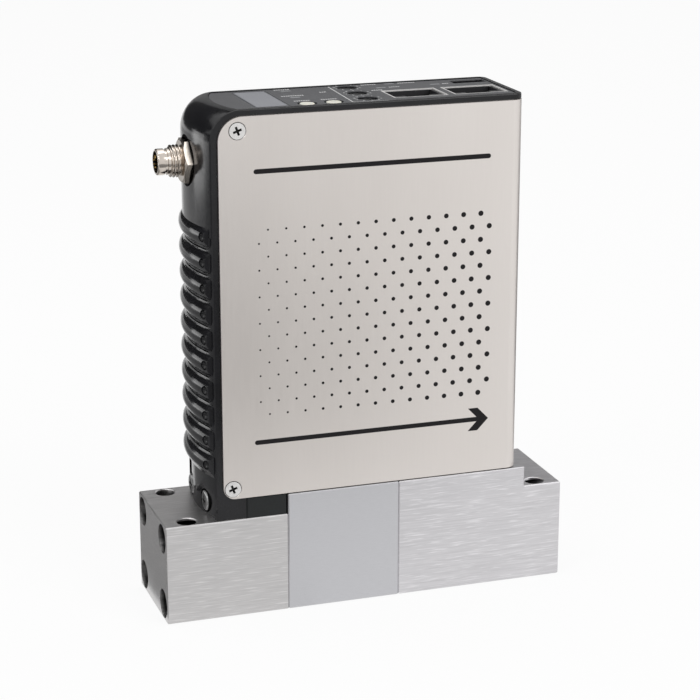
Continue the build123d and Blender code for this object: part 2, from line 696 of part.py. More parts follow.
def rib_wave():
    """Section of the grip ribs: crests and hollows as arcs that run into each other."""
    half = RIB_PITCH / 2
    turn = 2 * atan(RIB_DEPTH / half)
    hollow_r = half / sin(turn) - RIB_R
    out = hollow_r * (cos(turn) - 1)
    rise = hollow_r * sin(turn)
    last_z = RIB_TOP_Z - (RIB_COUNT - 1) * RIB_PITCH
    lines = []
    for step in range(RIB_COUNT):
        z = RIB_TOP_Z - step * RIB_PITCH
        upper = (out, z + half - rise)
        lower = (out, z - half + rise)
        lines.append(ThreePointArc(upper, (-RIB_DEPTH, z), lower))
        if z > last_z:
            lines.append(ThreePointArc(lower, (0, z - half), (out, z - half - rise)))
    start = (out, RIB_TOP_Z + half - rise)
    end = (out, last_z - half + rise)
    lines.append(Polyline(start, (RIB_SINK, start[1]), (RIB_SINK, last_z - half), (0, last_z - half), end))
    return make_face(Curve() + lines)


def ribs():
    """Grip ribs wrapped round the bow, with rounded ends."""
    crest_r = BOW_R + RIB_PROUD
    band = bow_band(crest_r - RIB_DEPTH, SHELL_HALF, 0, rib_wave())
    keep = extrude(bow_plan(crest_r, RECESS_HALF_WIDTH, BOW_X), HOUSING_TOP)
    keep = fillet(keep.edges().filter_by(Axis.Z).group_by(Axis.X)[0], RIB_END_R)
    return band & keep


def rib_dimples():
    """A small round hollow at each end of each rib."""
    crest_r = BOW_R + RIB_PROUD
    y = RECESS_HALF_WIDTH - DIMPLE_EDGE
    x = on_bow(crest_r, y)
    levels = [RIB_TOP_Z - step * RIB_PITCH for step in range(RIB_COUNT)]
    return [Pos(x, side * y, z) * Sphere(DIMPLE_R) for z in levels for side in (-1, 1)]


def rib_slots():
    """Narrow grooves halfway between the ribs."""
    slot = bow_band(RECESS_R, SLOT_HALF_SPAN, 0, Rectangle(2 * SLOT_DEPTH, SLOT_H))
    first = RIB_TOP_Z - RIB_PITCH / 2
    return [Pos(0, 0, first - step * RIB_PITCH) * slot for step in range(RIB_COUNT)]


def housing_outside():
    """The moulding's outer form, before it is hollowed."""
    plan = bow_plan(BOW_R, SHELL_HALF, SHELL_RIGHT_X)
    body = extrude(Pos(0, 0, LOW_TOP) * plan, HOUSING_TOP - LOW_TOP)
    body = fillet(body.edges().filter_by(Axis.Z).group_by(Axis.X)[-1], COVER_BEND_R - SHEET)
    shoulder = body.edges().filter_by(GeomType.CIRCLE).group_by(Axis.Z)[-1].sort_by(Axis.X)[0]
    body = fillet(shoulder, SHOULDER_R)
    faces = body.faces().filter_by(Axis.Y)
    outline = [e for f in faces for e in f.edges() if e.center().Z > LOW_TOP + 1]
    outline = [e for e in outline if e.center().X < SHELL_RIGHT_X - COVER_BEND_R]
    return fillet(outline, RIM_EDGE_R) + end_lip()


def end_lip():
    """The edge of the top panel that reaches over the sheet at the right end."""
    start_x = SHELL_RIGHT_X - COVER_BEND_R
    low = COVER_TOP + LIP_GAP
    lip = block(start_x, COVER_RIGHT_X, -SHELL_HALF, SHELL_HALF, low, HOUSING_TOP)
    lip = fillet(lip.edges().filter_by(Axis.Z).group_by(Axis.X)[-1], COVER_BEND_R - SHEET)
    return fillet(lip.edges().group_by(Axis.Z)[-1].sort_by(Axis.X)[1:], RIM_EDGE_R)


def housing():
    """The moulding: bowed left wall, top panel and foot in one piece."""
    body = housing_outside()
    far = HOUSING_TOP
    recess = extrude(Pos(0, 0, LOW_TOP - 1) * bow_plan(BOW_R + 2, RECESS_HALF_WIDTH, BOW_X),
                     RIB_TOP_Z - LOW_TOP + 1)
    body -= recess - rod_z(RECESS_R, 0, far, BOW_X)
    zone = extrude(Pos(0, 0, LOW_TOP - 1) * bow_plan(BOW_R + 2, HALF_WIDTH + 1, BOW_X),
                   RIB_TOP_Z - LOW_TOP + 1)
    body -= zone - rod_z(BOW_R - RIB_ZONE_DROP, 0, far, BOW_X)
    body = body + ribs()
    body -= rib_slots() + rib_dimples()
    body -= block(SIDE_STRIP_X, far, -far, far, FOOT_RAIL_TOP, PLATE_UNDER - SCREW_RAIL_H)
    body -= block(SCREW_RAIL_X, far, -far, far, FOOT_RAIL_TOP, PLATE_UNDER)
    body -= block(FOOT_X, far, -far, far, 0, FOOT_RAIL_TOP)
    hollow = bow_plan(INNER_R, SHELL_HALF - SIDE_STRIP_WALL, SIDE_STRIP_X)
    body -= extrude(Pos(0, 0, FOOT_RAIL_TOP) * hollow, PLATE_UNDER - SCREW_RAIL_H - FOOT_RAIL_TOP)
    seat_r = CONNECTOR_SEAT_R
    body += rod_x(seat_r, CONNECTOR_SEAT_X, CONNECTOR_BACK_SEAT_X, 0, CONNECTOR_Z)
    body -= rod_x(seat_r, BOW_APEX_X - 1, CONNECTOR_SEAT_X, 0, CONNECTOR_Z)
    hole_r = CONNECTOR_SHANK_R + CONNECTOR_HOLE_GAP
    body -= rod_x(hole_r, BOW_APEX_X, CONNECTOR_BACK_SEAT_X + 1, 0, CONNECTOR_Z)
    for x, z in COVER_SCREWS:
        body -= rod_y(COVER_SCREW_R, -SHELL_HALF - 1, -HALF_WIDTH + COVER_SCREW_LENGTH, x, z)
        body -= rod_y(COVER_SCREW_R, HALF_WIDTH - COVER_SCREW_LENGTH, SHELL_HALF + 1, x, z)
    for y in foot_screws_y():
        seat_x = foot_seat_x()
        z = LOW_TOP + FOOT_SCREW_RISE
        body -= rod_x(FOOT_SCREW_HEAD_R + FOOT_POCKET_GAP, BOW_APEX_X - 1, seat_x, y, z)
        body -= rod_x(FOOT_SCREW_R + FOOT_HOLE_GAP, seat_x, FOOT_X + 1, y, z)
    for x, y in PANEL_POSTS:
        body += rod_z(PANEL_POST_R, PANEL_BOARD_TOP, PLATE_UNDER + 1, x, y)
    return body - panel_cuts()


def label_plan(gap=0.0):
    """The label's outline, grown by a gap."""
    return bow_plan(LABEL_R + gap, LABEL_HALF + gap, LABEL_RIGHT_X + gap)


def panel_holes(z0, z1, gap=0.0):
    """Every hole that goes through both the label and the panel."""
    cuts = [slab(DISPLAY_X, 0, DISPLAY_LENGTH + gap, DISPLAY_WIDTH + gap, z0, z1)]
    for x in BUTTONS_X:
        cuts.append(rod_z(BUTTON_WELL_R, z0, z1, x, BUTTON_Y))
    for y in DIALS_Y:
        cuts.append(rod_z(DIAL_WELL_R, z0, z1, DIAL_X, y))
    for x in JACKS_X:
        cuts.append(slab(x, JACK_Y, JACK_COLLAR_LENGTH + 2 * gap, JACK_COLLAR_WIDTH + 2 * gap, z0, z1))
    for x, y in PANEL_LIGHTS + NETWORK_LIGHTS:
        cuts.append(slab(x, y, LIGHT_LENGTH + gap, LIGHT_WIDTH + gap, z0, z1))
    cuts.append(slab(PORT_X, PORT_Y, PORT_WELL_LENGTH, PORT_WELL_WIDTH, z0, z1))
    return cuts


def panel_cuts():
    """The label's recess and the holes in the top panel."""
    recess = extrude(Pos(0, 0, LABEL_FLOOR) * label_plan(PANEL_GAP), LABEL_INSET + 1)
    return [recess] + panel_holes(PLATE_UNDER - 1, HOUSING_TOP + 1, PANEL_GAP)


def foot_screws_y():
    return [-FOOT_SCREW_SPACING / 2, FOOT_SCREW_SPACING / 2]


def foot_seat_x():
    """X of the flat seat under a foot screw's head."""
    return on_bow(RECESS_R, FOOT_SCREW_SPACING / 2) + FOOT_SEAT_DEPTH


def foot_screws():
    """Pan-head cross-recess screws through the foot of the moulding."""
    length = FOOT_X - foot_seat_x() + FOOT_SCREW_GRIP
    head = rod_z(FOOT_SCREW_HEAD_R, 0, FOOT_SCREW_HEAD_H)
    head = fillet(head.edges().group_by(Axis.Z)[-1], FOOT_SCREW_HEAD_EDGE)
    recess = cross_recess(FOOT_SCREW_CROSS, FOOT_SCREW_CROSS_W, FOOT_SCREW_CROSS_DEPTH)
    screw = head + rod_z(FOOT_SCREW_R, -length, 0) - Pos(0, 0, FOOT_SCREW_HEAD_H) * recess
    z = LOW_TOP + FOOT_SCREW_RISE
    return [Pos(foot_seat_x(), y, z) * Rot(0, -90, 0) * screw for y in foot_screws_y()]


def bracket_screw_places():
    x = INLET_SEAM_X - BRACKET_SCREW_INSET
    return [(x, -BRACKET_SCREW_SPACING / 2), (x, BRACKET_SCREW_SPACING / 2)]


def foot_bracket():
    """The anodised block on the inlet block that the foot screws enter."""
    x0 = FOOT_X
    x1 = INLET_SEAM_X - BRACKET_GAP
    body = block(x0, x1, -BRACKET_HALF_WIDTH, BRACKET_HALF_WIDTH, LOW_TOP, HIGH_TOP)
    body = chamfer(body.edges().filter_by(Axis.Z), BRACKET_EDGE)
    for y in foot_screws_y():
        z = LOW_TOP + FOOT_SCREW_RISE
        body -= rod_x(FOOT_SCREW_R, x0 - 1, x0 + FOOT_SCREW_GRIP, y, z)
    for x, y in bracket_screw_places():
        body -= rod_z(BRACKET_SCREW_R, 0, HIGH_TOP + 1, x, y)
        body -= rod_z(BRACKET_SCREW_POCKET_R, HIGH_TOP - BRACKET_SCREW_SINK, HIGH_TOP + 1, x, y)
    return body


def bracket_screws():
    seat = HIGH_TOP - BRACKET_SCREW_SINK
    length = seat - LOW_TOP + BRACKET_SCREW_GRIP
    screw = cap_screw(BRACKET_SCREW_R, length, BRACKET_SCREW_HEAD_R, BRACKET_SCREW_HEAD_H,
                      BRACKET_SCREW_KEY, BRACKET_SCREW_KEY_DEPTH)
    return [Pos(x, y, seat) * screw for x, y in bracket_screw_places()]


# ---------------------------------------------------------------- top panel pieces
def top_label():
    sheet = extrude(Pos(0, 0, LABEL_FLOOR) * label_plan(), LABEL_T)
    return sheet - panel_holes(LABEL_FLOOR - 1, LABEL_TOP + 1)


def display_window():
    size = DISPLAY_WIDTH - PANEL_GAP
    glass = slab(DISPLAY_X, 0, DISPLAY_LENGTH - PANEL_GAP, size, LABEL_TOP - DISPLAY_GLASS_T, LABEL_TOP)
    return chamfer(glass.edges().group_by(Axis.Z)[-1], DISPLAY_GLASS_EDGE)


def display_module():
    top = LABEL_TOP - DISPLAY_GLASS_T
    length = DISPLAY_LENGTH - 2 * DISPLAY_CASE_GAP
    width = DISPLAY_WIDTH - 2 * DISPLAY_CASE_GAP
    case = slab(DISPLAY_X, 0, length, width, PANEL_BOARD_TOP, top)
    border = 2 * DISPLAY_BEZEL
    return case - slab(DISPLAY_X, 0, length - border, width - border, top - DISPLAY_BEZEL_DEPTH, top)


def push_button(x):
    """A cap with a retaining flange and a stem that works its switch."""
    flange_top = PLATE_UNDER - SWITCH_TOP_GAP
    flange_low = flange_top - BUTTON_FLANGE_H
    cap = rod_z(BUTTON_R, flange_low, HOUSING_TOP - BUTTON_RECESS, x, BUTTON_Y)
    cap = fillet(cap.edges().group_by(Axis.Z)[-1], BUTTON_EDGE_R)
    flange = rod_z(BUTTON_FLANGE_R, flange_low, flange_top, x, BUTTON_Y)
    stem = rod_z(BUTTON_STEM_R, PANEL_BOARD_TOP + BUTTON_STEM_RISE, flange_low, x, BUTTON_Y)
    return cap + flange + stem


def button_switches():
    """Two tactile switches, each with a well for its button's stem."""
    top = PANEL_BOARD_TOP + BUTTON_SWITCH_H
    floor = PANEL_BOARD_TOP + BUTTON_STEM_RISE - BUTTON_TRAVEL - BUTTON_SWITCH_GAP
    switches = []
    for x in BUTTONS_X:
        body = slab(x, BUTTON_Y, BUTTON_SWITCH_SIZE, BUTTON_SWITCH_SIZE, PANEL_BOARD_TOP, top)
        switches.append(body - rod_z(BUTTON_STEM_R + BUTTON_SWITCH_GAP, floor, top, x, BUTTON_Y))
    return switches


def address_dial(y):
    """A rotary switch's rotor with a notched rim and a screwdriver slot."""
    low = PLATE_UNDER - SWITCH_TOP_GAP - DIAL_SIT
    top = LABEL_TOP - DIAL_RECESS
    rotor = rod_z(DIAL_R, low, top, DIAL_X, y)
    for step in range(DIAL_NOTCHES):
        turn = radians(step * 360 / DIAL_NOTCHES)
        x = DIAL_X + DIAL_R * cos(turn)
        rotor -= rod_z(DIAL_NOTCH_R, PLATE_UNDER, top, x, y + DIAL_R * sin(turn))
    floor = top - DIAL_SLOT_DEPTH
    slot = slab(DIAL_X, y, DIAL_SLOT_LENGTH, DIAL_SLOT_WIDTH, floor, top + 1)
    head = extrude(RegularPolygon(DIAL_ARROW_R, 3), DIAL_SLOT_DEPTH + 1)
    arrow = Pos(DIAL_X + DIAL_ARROW_OUT, y, floor) * head
    return rotor - slot - arrow


def dial_switches():
    """Three rotary switch bodies, each with a bearing well for its rotor."""
    top = PLATE_UNDER - SWITCH_TOP_GAP
    bodies = []
    for y in DIALS_Y:
        body = slab(DIAL_X, y, DIAL_SWITCH_SIZE, DIAL_SWITCH_SIZE, PANEL_BOARD_TOP, top)
        bodies.append(body - rod_z(DIAL_R + DIAL_GAP, top - DIAL_SIT - DIAL_GAP, top, DIAL_X, y))
    return bodies


def status_lights():
    """Clear light pipes from the lamps on the boards to the label."""
    pipes = []
    for places, board_top in ((PANEL_LIGHTS, PANEL_BOARD_TOP), (NETWORK_LIGHTS, NETWORK_BOARD_TOP)):
        for x, y in places:
            pipes.append(slab(x, y, LIGHT_LENGTH, LIGHT_WIDTH, board_top, LABEL_TOP))
    return pipes


def jack_outline(x, inset, z0, z1):
    """A jack's stepped body, drawn in by an inset."""
    shoulder = PLATE_UNDER - 0.2 - inset
    wide = slab(x, JACK_Y, JACK_LENGTH - 2 * inset, JACK_WIDTH - 2 * inset, z0, shoulder)
    collar_length = JACK_COLLAR_LENGTH - 2 * inset
    return wide + slab(x, JACK_Y, collar_length, JACK_COLLAR_WIDTH - 2 * inset, z0, z1)


def jack_shield(x):
    """The metal shell of a network jack, open at the top and at the board."""
    outer = jack_outline(x, 0, NETWORK_BOARD_TOP, LABEL_TOP)
    return outer - jack_outline(x, JACK_SHEET, NETWORK_BOARD_TOP - 1, LABEL_TOP + 1)


def plug_cavity(x):
    """The stepped space that a plug and its latch go into."""
    top = LABEL_TOP + 1
    floor = LABEL_TOP - PLUG_DEPTH
    y = JACK_Y + PLUG_OFFSET_Y
    front = y - PLUG_WIDTH / 2
    cavity = slab(x, y, PLUG_LENGTH, PLUG_WIDTH, floor, top)
    cavity += block(x - LATCH_LENGTH / 2, x + LATCH_LENGTH / 2, front - LATCH_WIDTH, front, floor, top)
    key_front = front - LATCH_WIDTH - LATCH_KEY_WIDTH
    cavity += block(x - LATCH_KEY_LENGTH / 2, x + LATCH_KEY_LENGTH / 2, key_front, front, floor, top)
    return cavity


def jack_insert(x):
    """The moulded core of a network jack."""
    body = jack_outline(x, JACK_SHEET, NETWORK_BOARD_TOP, LABEL_TOP - 0.3)
    return body - plug_cavity(x)


def jack_contacts():
    """Spring wires along the back wall of each plug space."""
    back = JACK_Y + PLUG_OFFSET_Y + PLUG_WIDTH / 2
    low = LABEL_TOP - PLUG_DEPTH
    wires = []
    for x in JACKS_X:
        for step in range(CONTACT_COUNT):
            wire_x = x + (step - (CONTACT_COUNT - 1) / 2) * CONTACT_PITCH
            wire = block(wire_x - CONTACT_SIZE / 2, wire_x + CONTACT_SIZE / 2,
                         back - CONTACT_SIZE, back, low, low + CONTACT_HEIGHT)
            wires.append(wire)
    return wires


def diagnostic_port():
    """A slim service socket with a tongue."""
    top = LABEL_TOP - PORT_RECESS
    shell = slab(PORT_X, PORT_Y, PORT_LENGTH, PORT_WIDTH, NETWORK_BOARD_TOP, top)
    shell = fillet(shell.edges().filter_by(Axis.Z).group_by(Axis.Y)[0], 0.6)
    inner_length = PORT_LENGTH - 2 * PORT_SHEET
    inner_width = PORT_WIDTH - 2 * PORT_SHEET
    shell -= slab(PORT_X, PORT_Y, inner_length, inner_width, top - PORT_DEPTH, top + 1)
    tongue = slab(PORT_X, PORT_Y, inner_length - 1.6, PORT_TONGUE_WIDTH, top - PORT_DEPTH, top - 1.0)
    return shell + tongue


# ---------------------------------------------------------------- boards
def panel_board():
    z1 = PANEL_BOARD_TOP
    return block(PANEL_BOARD_LEFT_X, PANEL_BOARD_RIGHT_X, -BOARD_HALF, BOARD_HALF, z1 - BOARD_T, z1)


def network_board():
    z1 = NETWORK_BOARD_TOP
    return block(NETWORK_BOARD_LEFT_X, NETWORK_BOARD_RIGHT_X, -BOARD_HALF, BOARD_HALF, z1 - BOARD_T, z1)


def board_spacers():
    """Posts between the network board and the panel board above it."""
    x = NETWORK_BOARD_LEFT_X + SPACER_INSET
    y = BOARD_HALF - SPACER_INSET
    height = PANEL_BOARD_TOP - BOARD_T - NETWORK_BOARD_TOP
    post = extrude(Pos(0, 0, NETWORK_BOARD_TOP) * RegularPolygon(SPACER_R, 6), height)
    return [Pos(x, side * y, 0) * post for side in (-1, 1)]


def main_board():
    x1 = NETWORK_BOARD_RIGHT_X
    y1 = MAIN_BOARD_Y + MAIN_BOARD_T
    z1 = NETWORK_BOARD_TOP - BOARD_T - MAIN_BOARD_HEADROOM
    return block(MAIN_BOARD_LEFT_X, x1, MAIN_BOARD_Y, y1, HIGH_TOP + GUIDE_FLOOR, z1)


def board_chips():
    """Packages on the inner face of the main board."""
    mid_z = (HIGH_TOP + NETWORK_BOARD_TOP) / 2
    return [
        chip(PROCESSOR_X, mid_z + PROCESSOR_RISE, PROCESSOR_SIZE, PROCESSOR_SIZE),
        chip(MEMORY_X, mid_z - MEMORY_DROP, MEMORY_LENGTH, MEMORY_HEIGHT),
        chip(DRIVER_X, mid_z + DRIVER_RISE, DRIVER_LENGTH, DRIVER_HEIGHT),
    ]


def chip(x, z, length, height):
    """One package, centred on a point of the main board's inner face."""
    y0 = MAIN_BOARD_Y - CHIP_T
    return block(x - length / 2, x + length / 2, y0, MAIN_BOARD_Y, z - height / 2, z + height / 2)


def guide_y():
    """Y of the card guide's middle, in line with the main board."""
    return MAIN_BOARD_Y + MAIN_BOARD_T / 2


def guide_pegs_x():
    return [GUIDE_LEFT_X + 3.0, GUIDE_RIGHT_X - 3.0]


def card_guide():
    """A grooved rail that holds the main board's lower edge."""
    half = MAIN_BOARD_T / 2 + GUIDE_SLOT_GAP + GUIDE_WALL
    y = guide_y()
    rail = block(GUIDE_LEFT_X, GUIDE_RIGHT_X, y - half, y + half, HIGH_TOP, HIGH_TOP + GUIDE_HEIGHT)
    slot_half = MAIN_BOARD_T / 2 + GUIDE_SLOT_GAP
    floor = HIGH_TOP + GUIDE_FLOOR
    rail -= block(GUIDE_LEFT_X - 1, GUIDE_RIGHT_X + 1, y - slot_half, y + slot_half, floor, HOUSING_TOP)
    for x in guide_pegs_x():
        rail += rod_z(GUIDE_PEG_R, HIGH_TOP - GUIDE_PEG_LENGTH, HIGH_TOP, x, y)
    return rail


def board_header():
    """The connector between the main board and the network board."""
    z1 = NETWORK_BOARD_TOP - BOARD_T
    y0 = MAIN_BOARD_Y - HEADER_WIDTH
    return block(HEADER_LEFT_X, HEADER_RIGHT_X, y0, MAIN_BOARD_Y, z1 - HEADER_HEIGHT, z1)


# ---------------------------------------------------------------- side connector
def turned_x(points):
    """A turned piece about the connector's axis from (x, radius) points."""
    profile = make_face(Polyline(*points, close=True))
    spun = revolve(Plane.XZ * profile, Axis.X)
    return Pos(0, 0, CONNECTOR_Z) * spun


def connector_shell():
    """The connector's metal shell: nose, snap groove, thread and rear flange."""
    tip = CONNECTOR_TIP_X
    bore = CONNECTOR_BORE_R
    nose = CONNECTOR_NOSE_R
    thread = CONNECTOR_THREAD_R
    shank = CONNECTOR_SHANK_R
    shoulder = CONNECTOR_THREAD_END_X
    nut_face = CONNECTOR_SEAT_X - NUT_T
    groove0 = CONNECTOR_GROOVE_X - CONNECTOR_GROOVE_WIDTH / 2
    groove1 = CONNECTOR_GROOVE_X + CONNECTOR_GROOVE_WIDTH / 2
    groove_r = nose - CONNECTOR_GROOVE_DEPTH
    flange_x = CONNECTOR_BACK_SEAT_X + CONNECTOR_GASKET_T
    flange_end = flange_x + CONNECTOR_FLANGE_T
    tail_end = flange_end + CONNECTOR_TAIL_LENGTH
    return turned_x([
        (tip, bore), (tip, nose - 0.3), (tip + 0.3, nose),
        (groove0, nose), (groove0, groove_r), (groove1, groove_r), (groove1, nose),
        (shoulder - 0.2, nose), (shoulder + 0.3, thread), (nut_face, thread), (nut_face, shank),
        (flange_x, shank), (flange_x, CONNECTOR_FLANGE_R), (flange_end, CONNECTOR_FLANGE_R),
        (flange_end, CONNECTOR_TAIL_R), (tail_end, CONNECTOR_TAIL_R), (tail_end, bore),
    ])


def connector_nut():
    """The hexagon nut that clamps the connector to the wall."""
    corner_r = NUT_ACROSS / sqrt(3)
    nut = hexagon(NUT_ACROSS, NUT_T)
    edge_r = corner_r - sqrt(3) * NUT_EDGE
    nut = nut & (rod_z(corner_r, 0, NUT_T - NUT_EDGE) + cone_z(corner_r, edge_r, NUT_T - NUT_EDGE, NUT_T))
    nut = nut & (cone_z(edge_r, corner_r, 0, NUT_EDGE) + rod_z(corner_r, NUT_EDGE, NUT_T))
    nut -= rod_z(CONNECTOR_SHANK_R, -1, NUT_T + 1)
    return Pos(CONNECTOR_SEAT_X, 0, CONNECTOR_Z) * Rot(0, -90, 0) * Rot(0, 0, 90) * nut


def connector_insert():
    """The moulded carrier of the pins."""
    front = CONNECTOR_TIP_X + CONNECTOR_BORE_DEPTH
    back = (CONNECTOR_BACK_SEAT_X + CONNECTOR_GASKET_T + CONNECTOR_FLANGE_T
            + CONNECTOR_TAIL_LENGTH)
    core = rod_x(CONNECTOR_BORE_R, front, back, 0, CONNECTOR_Z)
    for y, z in pin_places():
        core -= rod_x(PIN_R, front - 1, back + 1, y, z)
    return core


def pin_places():
    turns = [radians(45 + 360 * step / PIN_COUNT) for step in range(PIN_COUNT)]
    return [(PIN_CIRCLE_R * cos(t), CONNECTOR_Z + PIN_CIRCLE_R * sin(t)) for t in turns]


def connector_pins():
    """Contact pins, long enough to reach the solder tails."""
    front = CONNECTOR_TIP_X + CONNECTOR_BORE_DEPTH - PIN_LENGTH
    back = (CONNECTOR_BACK_SEAT_X + CONNECTOR_GASKET_T + CONNECTOR_FLANGE_T
            + CONNECTOR_TAIL_LENGTH + 1.5)
    pins = []
    for y, z in pin_places():
        pin = rod_x(PIN_R, front, back, y, z)
        pins.append(chamfer(pin.edges().group_by(Axis.X)[0], 0.15))
    return pins


def connector_gasket():
    x0 = CONNECTOR_BACK_SEAT_X
    ring = rod_x(CONNECTOR_FLANGE_R - 0.4, x0, x0 + CONNECTOR_GASKET_T, 0, CONNECTOR_Z)
    return ring - rod_x(CONNECTOR_SHANK_R, x0 - 1, x0 + CONNECTOR_GASKET_T + 1, 0, CONNECTOR_Z)


# ---------------------------------------------------------------- flow sensor
def sensor_places(spacing):
    return [SENSOR_X - spacing / 2, SENSOR_X + spacing / 2]


def sensor_base():
    top = HIGH_TOP + SENSOR_BASE_T
    body = slab(SENSOR_X, 0, SENSOR_BASE_LENGTH, SENSOR_BASE_WIDTH, HIGH_TOP, top)
    for x in sensor_places(SENSOR_TAP_SPACING):
        body -= rod_z(SENSOR_TUBE_R, HIGH_TOP, top + 1, x)
        body -= rod_z(SENSOR_SEAL_R, HIGH_TOP - 1, HIGH_TOP + SENSOR_SEAL_H, x)
    for x in sensor_places(SENSOR_SCREW_SPACING):
        body -= rod_z(SENSOR_SCREW_R, HIGH_TOP - 1, top + 1, x)
    return body


def sensor_seals():
    rings = []
    for x in sensor_places(SENSOR_TAP_SPACING):
        ring = rod_z(SENSOR_SEAL_R, HIGH_TOP, HIGH_TOP + SENSOR_SEAL_H, x)
        rings.append(ring - rod_z(SENSOR_TUBE_R, HIGH_TOP - 1, HIGH_TOP + 2, x))
    return rings


def sensor_tube():
    """The heated capillary: up from one tap, across and down to the other."""
    x0, x1 = sensor_places(SENSOR_TAP_SPACING)
    z0 = HIGH_TOP
    z1 = HIGH_TOP + SENSOR_TUBE_RISE
    route = FilletPolyline((x0, 0, z0), (x0, 0, z1), (x1, 0, z1), (x1, 0, z0), radius=SENSOR_TUBE_BEND_R)
    ring = Circle(SENSOR_TUBE_R) - Circle(SENSOR_TUBE_BORE_R)
    return sweep(Pos(x0, 0, z0) * ring, path=route)


def sensor_windings():
    """The two heater and thermometer coils on the capillary."""
    z = HIGH_TOP + SENSOR_TUBE_RISE
    coils = []
    for x in sensor_places(SENSOR_WINDING_SPACING):
        half = SENSOR_WINDING_LENGTH / 2
        coil = rod_x(SENSOR_WINDING_R, x - half, x + half, 0, z)
        coils.append(coil - rod_x(SENSOR_TUBE_R, x - half - 1, x + half + 1, 0, z))
    return coils


def sensor_can():
    z0 = HIGH_TOP + SENSOR_BASE_T
    z1 = z0 + SENSOR_CAN_HEIGHT
    wall = 2 * SENSOR_CAN_WALL
    can = slab(SENSOR_X, 0, SENSOR_CAN_LENGTH, SENSOR_CAN_WIDTH, z0, z1)
    can = fillet(can.edges().filter_by(Axis.Z), 1.5)
    length = SENSOR_CAN_LENGTH - wall
    return can - slab(SENSOR_X, 0, length, SENSOR_CAN_WIDTH - wall, z0 - 1, z1 - SENSOR_CAN_WALL)


def sensor_screws():
    length = SENSOR_BASE_T + SENSOR_SCREW_GRIP
    screw = cap_screw(SENSOR_SCREW_R, length, SENSOR_SCREW_HEAD_R, SENSOR_SCREW_HEAD_H, 2.0, 1.2)
    top = HIGH_TOP + SENSOR_BASE_T
    return [Pos(x, 0, top) * screw for x in sensor_places(SENSOR_SCREW_SPACING)]


def flow_splitter():
    """The laminar bypass element: a core with lengthwise fins."""
    half = SPLITTER_LENGTH / 2
    fin = block(-half, half, -SPLITTER_FIN_T / 2, SPLITTER_FIN_T / 2, 0, SPLITTER_R)
    fins = [Rot(360 * step / SPLITTER_FINS, 0, 0) * fin for step in range(SPLITTER_FINS)]
    body = (rod_x(SPLITTER_CORE_R, -half, half) + fins) & rod_x(SPLITTER_R, -half, half)
    return Pos(SENSOR_X, 0, GAS_Z) * body


# ---------------------------------------------------------------- control valve
def plunger_low_z():
    """Z of the plunger's foot, above the seat's nozzle and the seal disc."""
    nozzle_top = HIGH_TOP - VALVE_CHAMBER_DEPTH + VALVE_NOZZLE_RISE
    return nozzle_top + PLUNGER_SEAT_GAP + PLUNGER_SEAL_T


def core_low_z():
    """Z of the fixed pole's face."""
    return plunger_low_z() + PLUNGER_LENGTH + PLUNGER_LIFT + PLUNGER_STOP_GAP


def core_top_z():
    return core_low_z() + CORE_LENGTH


def valve_base():
    """The flange with the thin non-magnetic guide sleeve welded into it."""
    z1 = HIGH_TOP + VALVE_FLANGE_T
    body = slab(VALVE_X, 0, VALVE_FLANGE_SIZE, VALVE_FLANGE_SIZE, HIGH_TOP, z1)
    body = chamfer(body.edges().filter_by(Axis.Z), VALVE_FLANGE_EDGE)
    body += rod_z(VALVE_TUBE_R, HIGH_TOP, core_top_z(), VALVE_X)
    body -= rod_z(PLUNGER_R + PLUNGER_GAP, 0, HOUSING_TOP, VALVE_X)
    ring = rod_z(VALVE_GASKET_R, 0, HIGH_TOP + VALVE_GASKET_T, VALVE_X)
    body -= ring - rod_z(VALVE_GASKET_BORE_R, 0, z1, VALVE_X)
    for x, y in square(VALVE_X, 0, VALVE_SCREW_SPACING):
        body -= rod_z(VALVE_SCREW_R, 0, z1 + 1, x, y)
        body -= rod_z(VALVE_SCREW_HEAD_R + 0.2, z1 - VALVE_SCREW_HEAD_H, z1 + 1, x, y)
    return body


def valve_screws():
    seat = HIGH_TOP + VALVE_FLANGE_T - VALVE_SCREW_HEAD_H
    length = seat - HIGH_TOP + VALVE_SCREW_GRIP
    screw = cap_screw(VALVE_SCREW_R, length, VALVE_SCREW_HEAD_R, VALVE_SCREW_HEAD_H, 2.0, 1.2)
    return [Pos(x, y, seat) * screw for x, y in square(VALVE_X, 0, VALVE_SCREW_SPACING)]


def valve_gasket():
    ring = rod_z(VALVE_GASKET_R, HIGH_TOP, HIGH_TOP + VALVE_GASKET_T, VALVE_X)
    return ring - rod_z(VALVE_GASKET_BORE_R, 0, HOUSING_TOP, VALVE_X)


def valve_seat():
    """The orifice disc with a raised nozzle."""
    top = HIGH_TOP - VALVE_CHAMBER_DEPTH
    disc = rod_z(VALVE_SEAT_R, top - VALVE_SEAT_DEPTH, top, VALVE_X)
    nozzle = cone_z(2 * VALVE_NOZZLE_R, VALVE_NOZZLE_R, top, top + VALVE_NOZZLE_RISE, VALVE_X)
    return disc + nozzle - rod_z(VALVE_ORIFICE_R, 0, HOUSING_TOP, VALVE_X)


def valve_plunger():
    z0 = plunger_low_z()
    z1 = z0 + PLUNGER_LENGTH
    body = rod_z(PLUNGER_R, z0, z1, VALVE_X)
    body = chamfer(body.edges().group_by(Axis.Z)[0], 0.5)
    return body - rod_z(SPRING_POCKET_R, z1 - SPRING_POCKET_DEPTH, z1 + 1, VALVE_X)


def valve_seal():
    """The soft disc on the plunger's foot that closes the nozzle."""
    z1 = plunger_low_z()
    return rod_z(PLUNGER_SEAL_R, z1 - PLUNGER_SEAL_T, z1, VALVE_X)


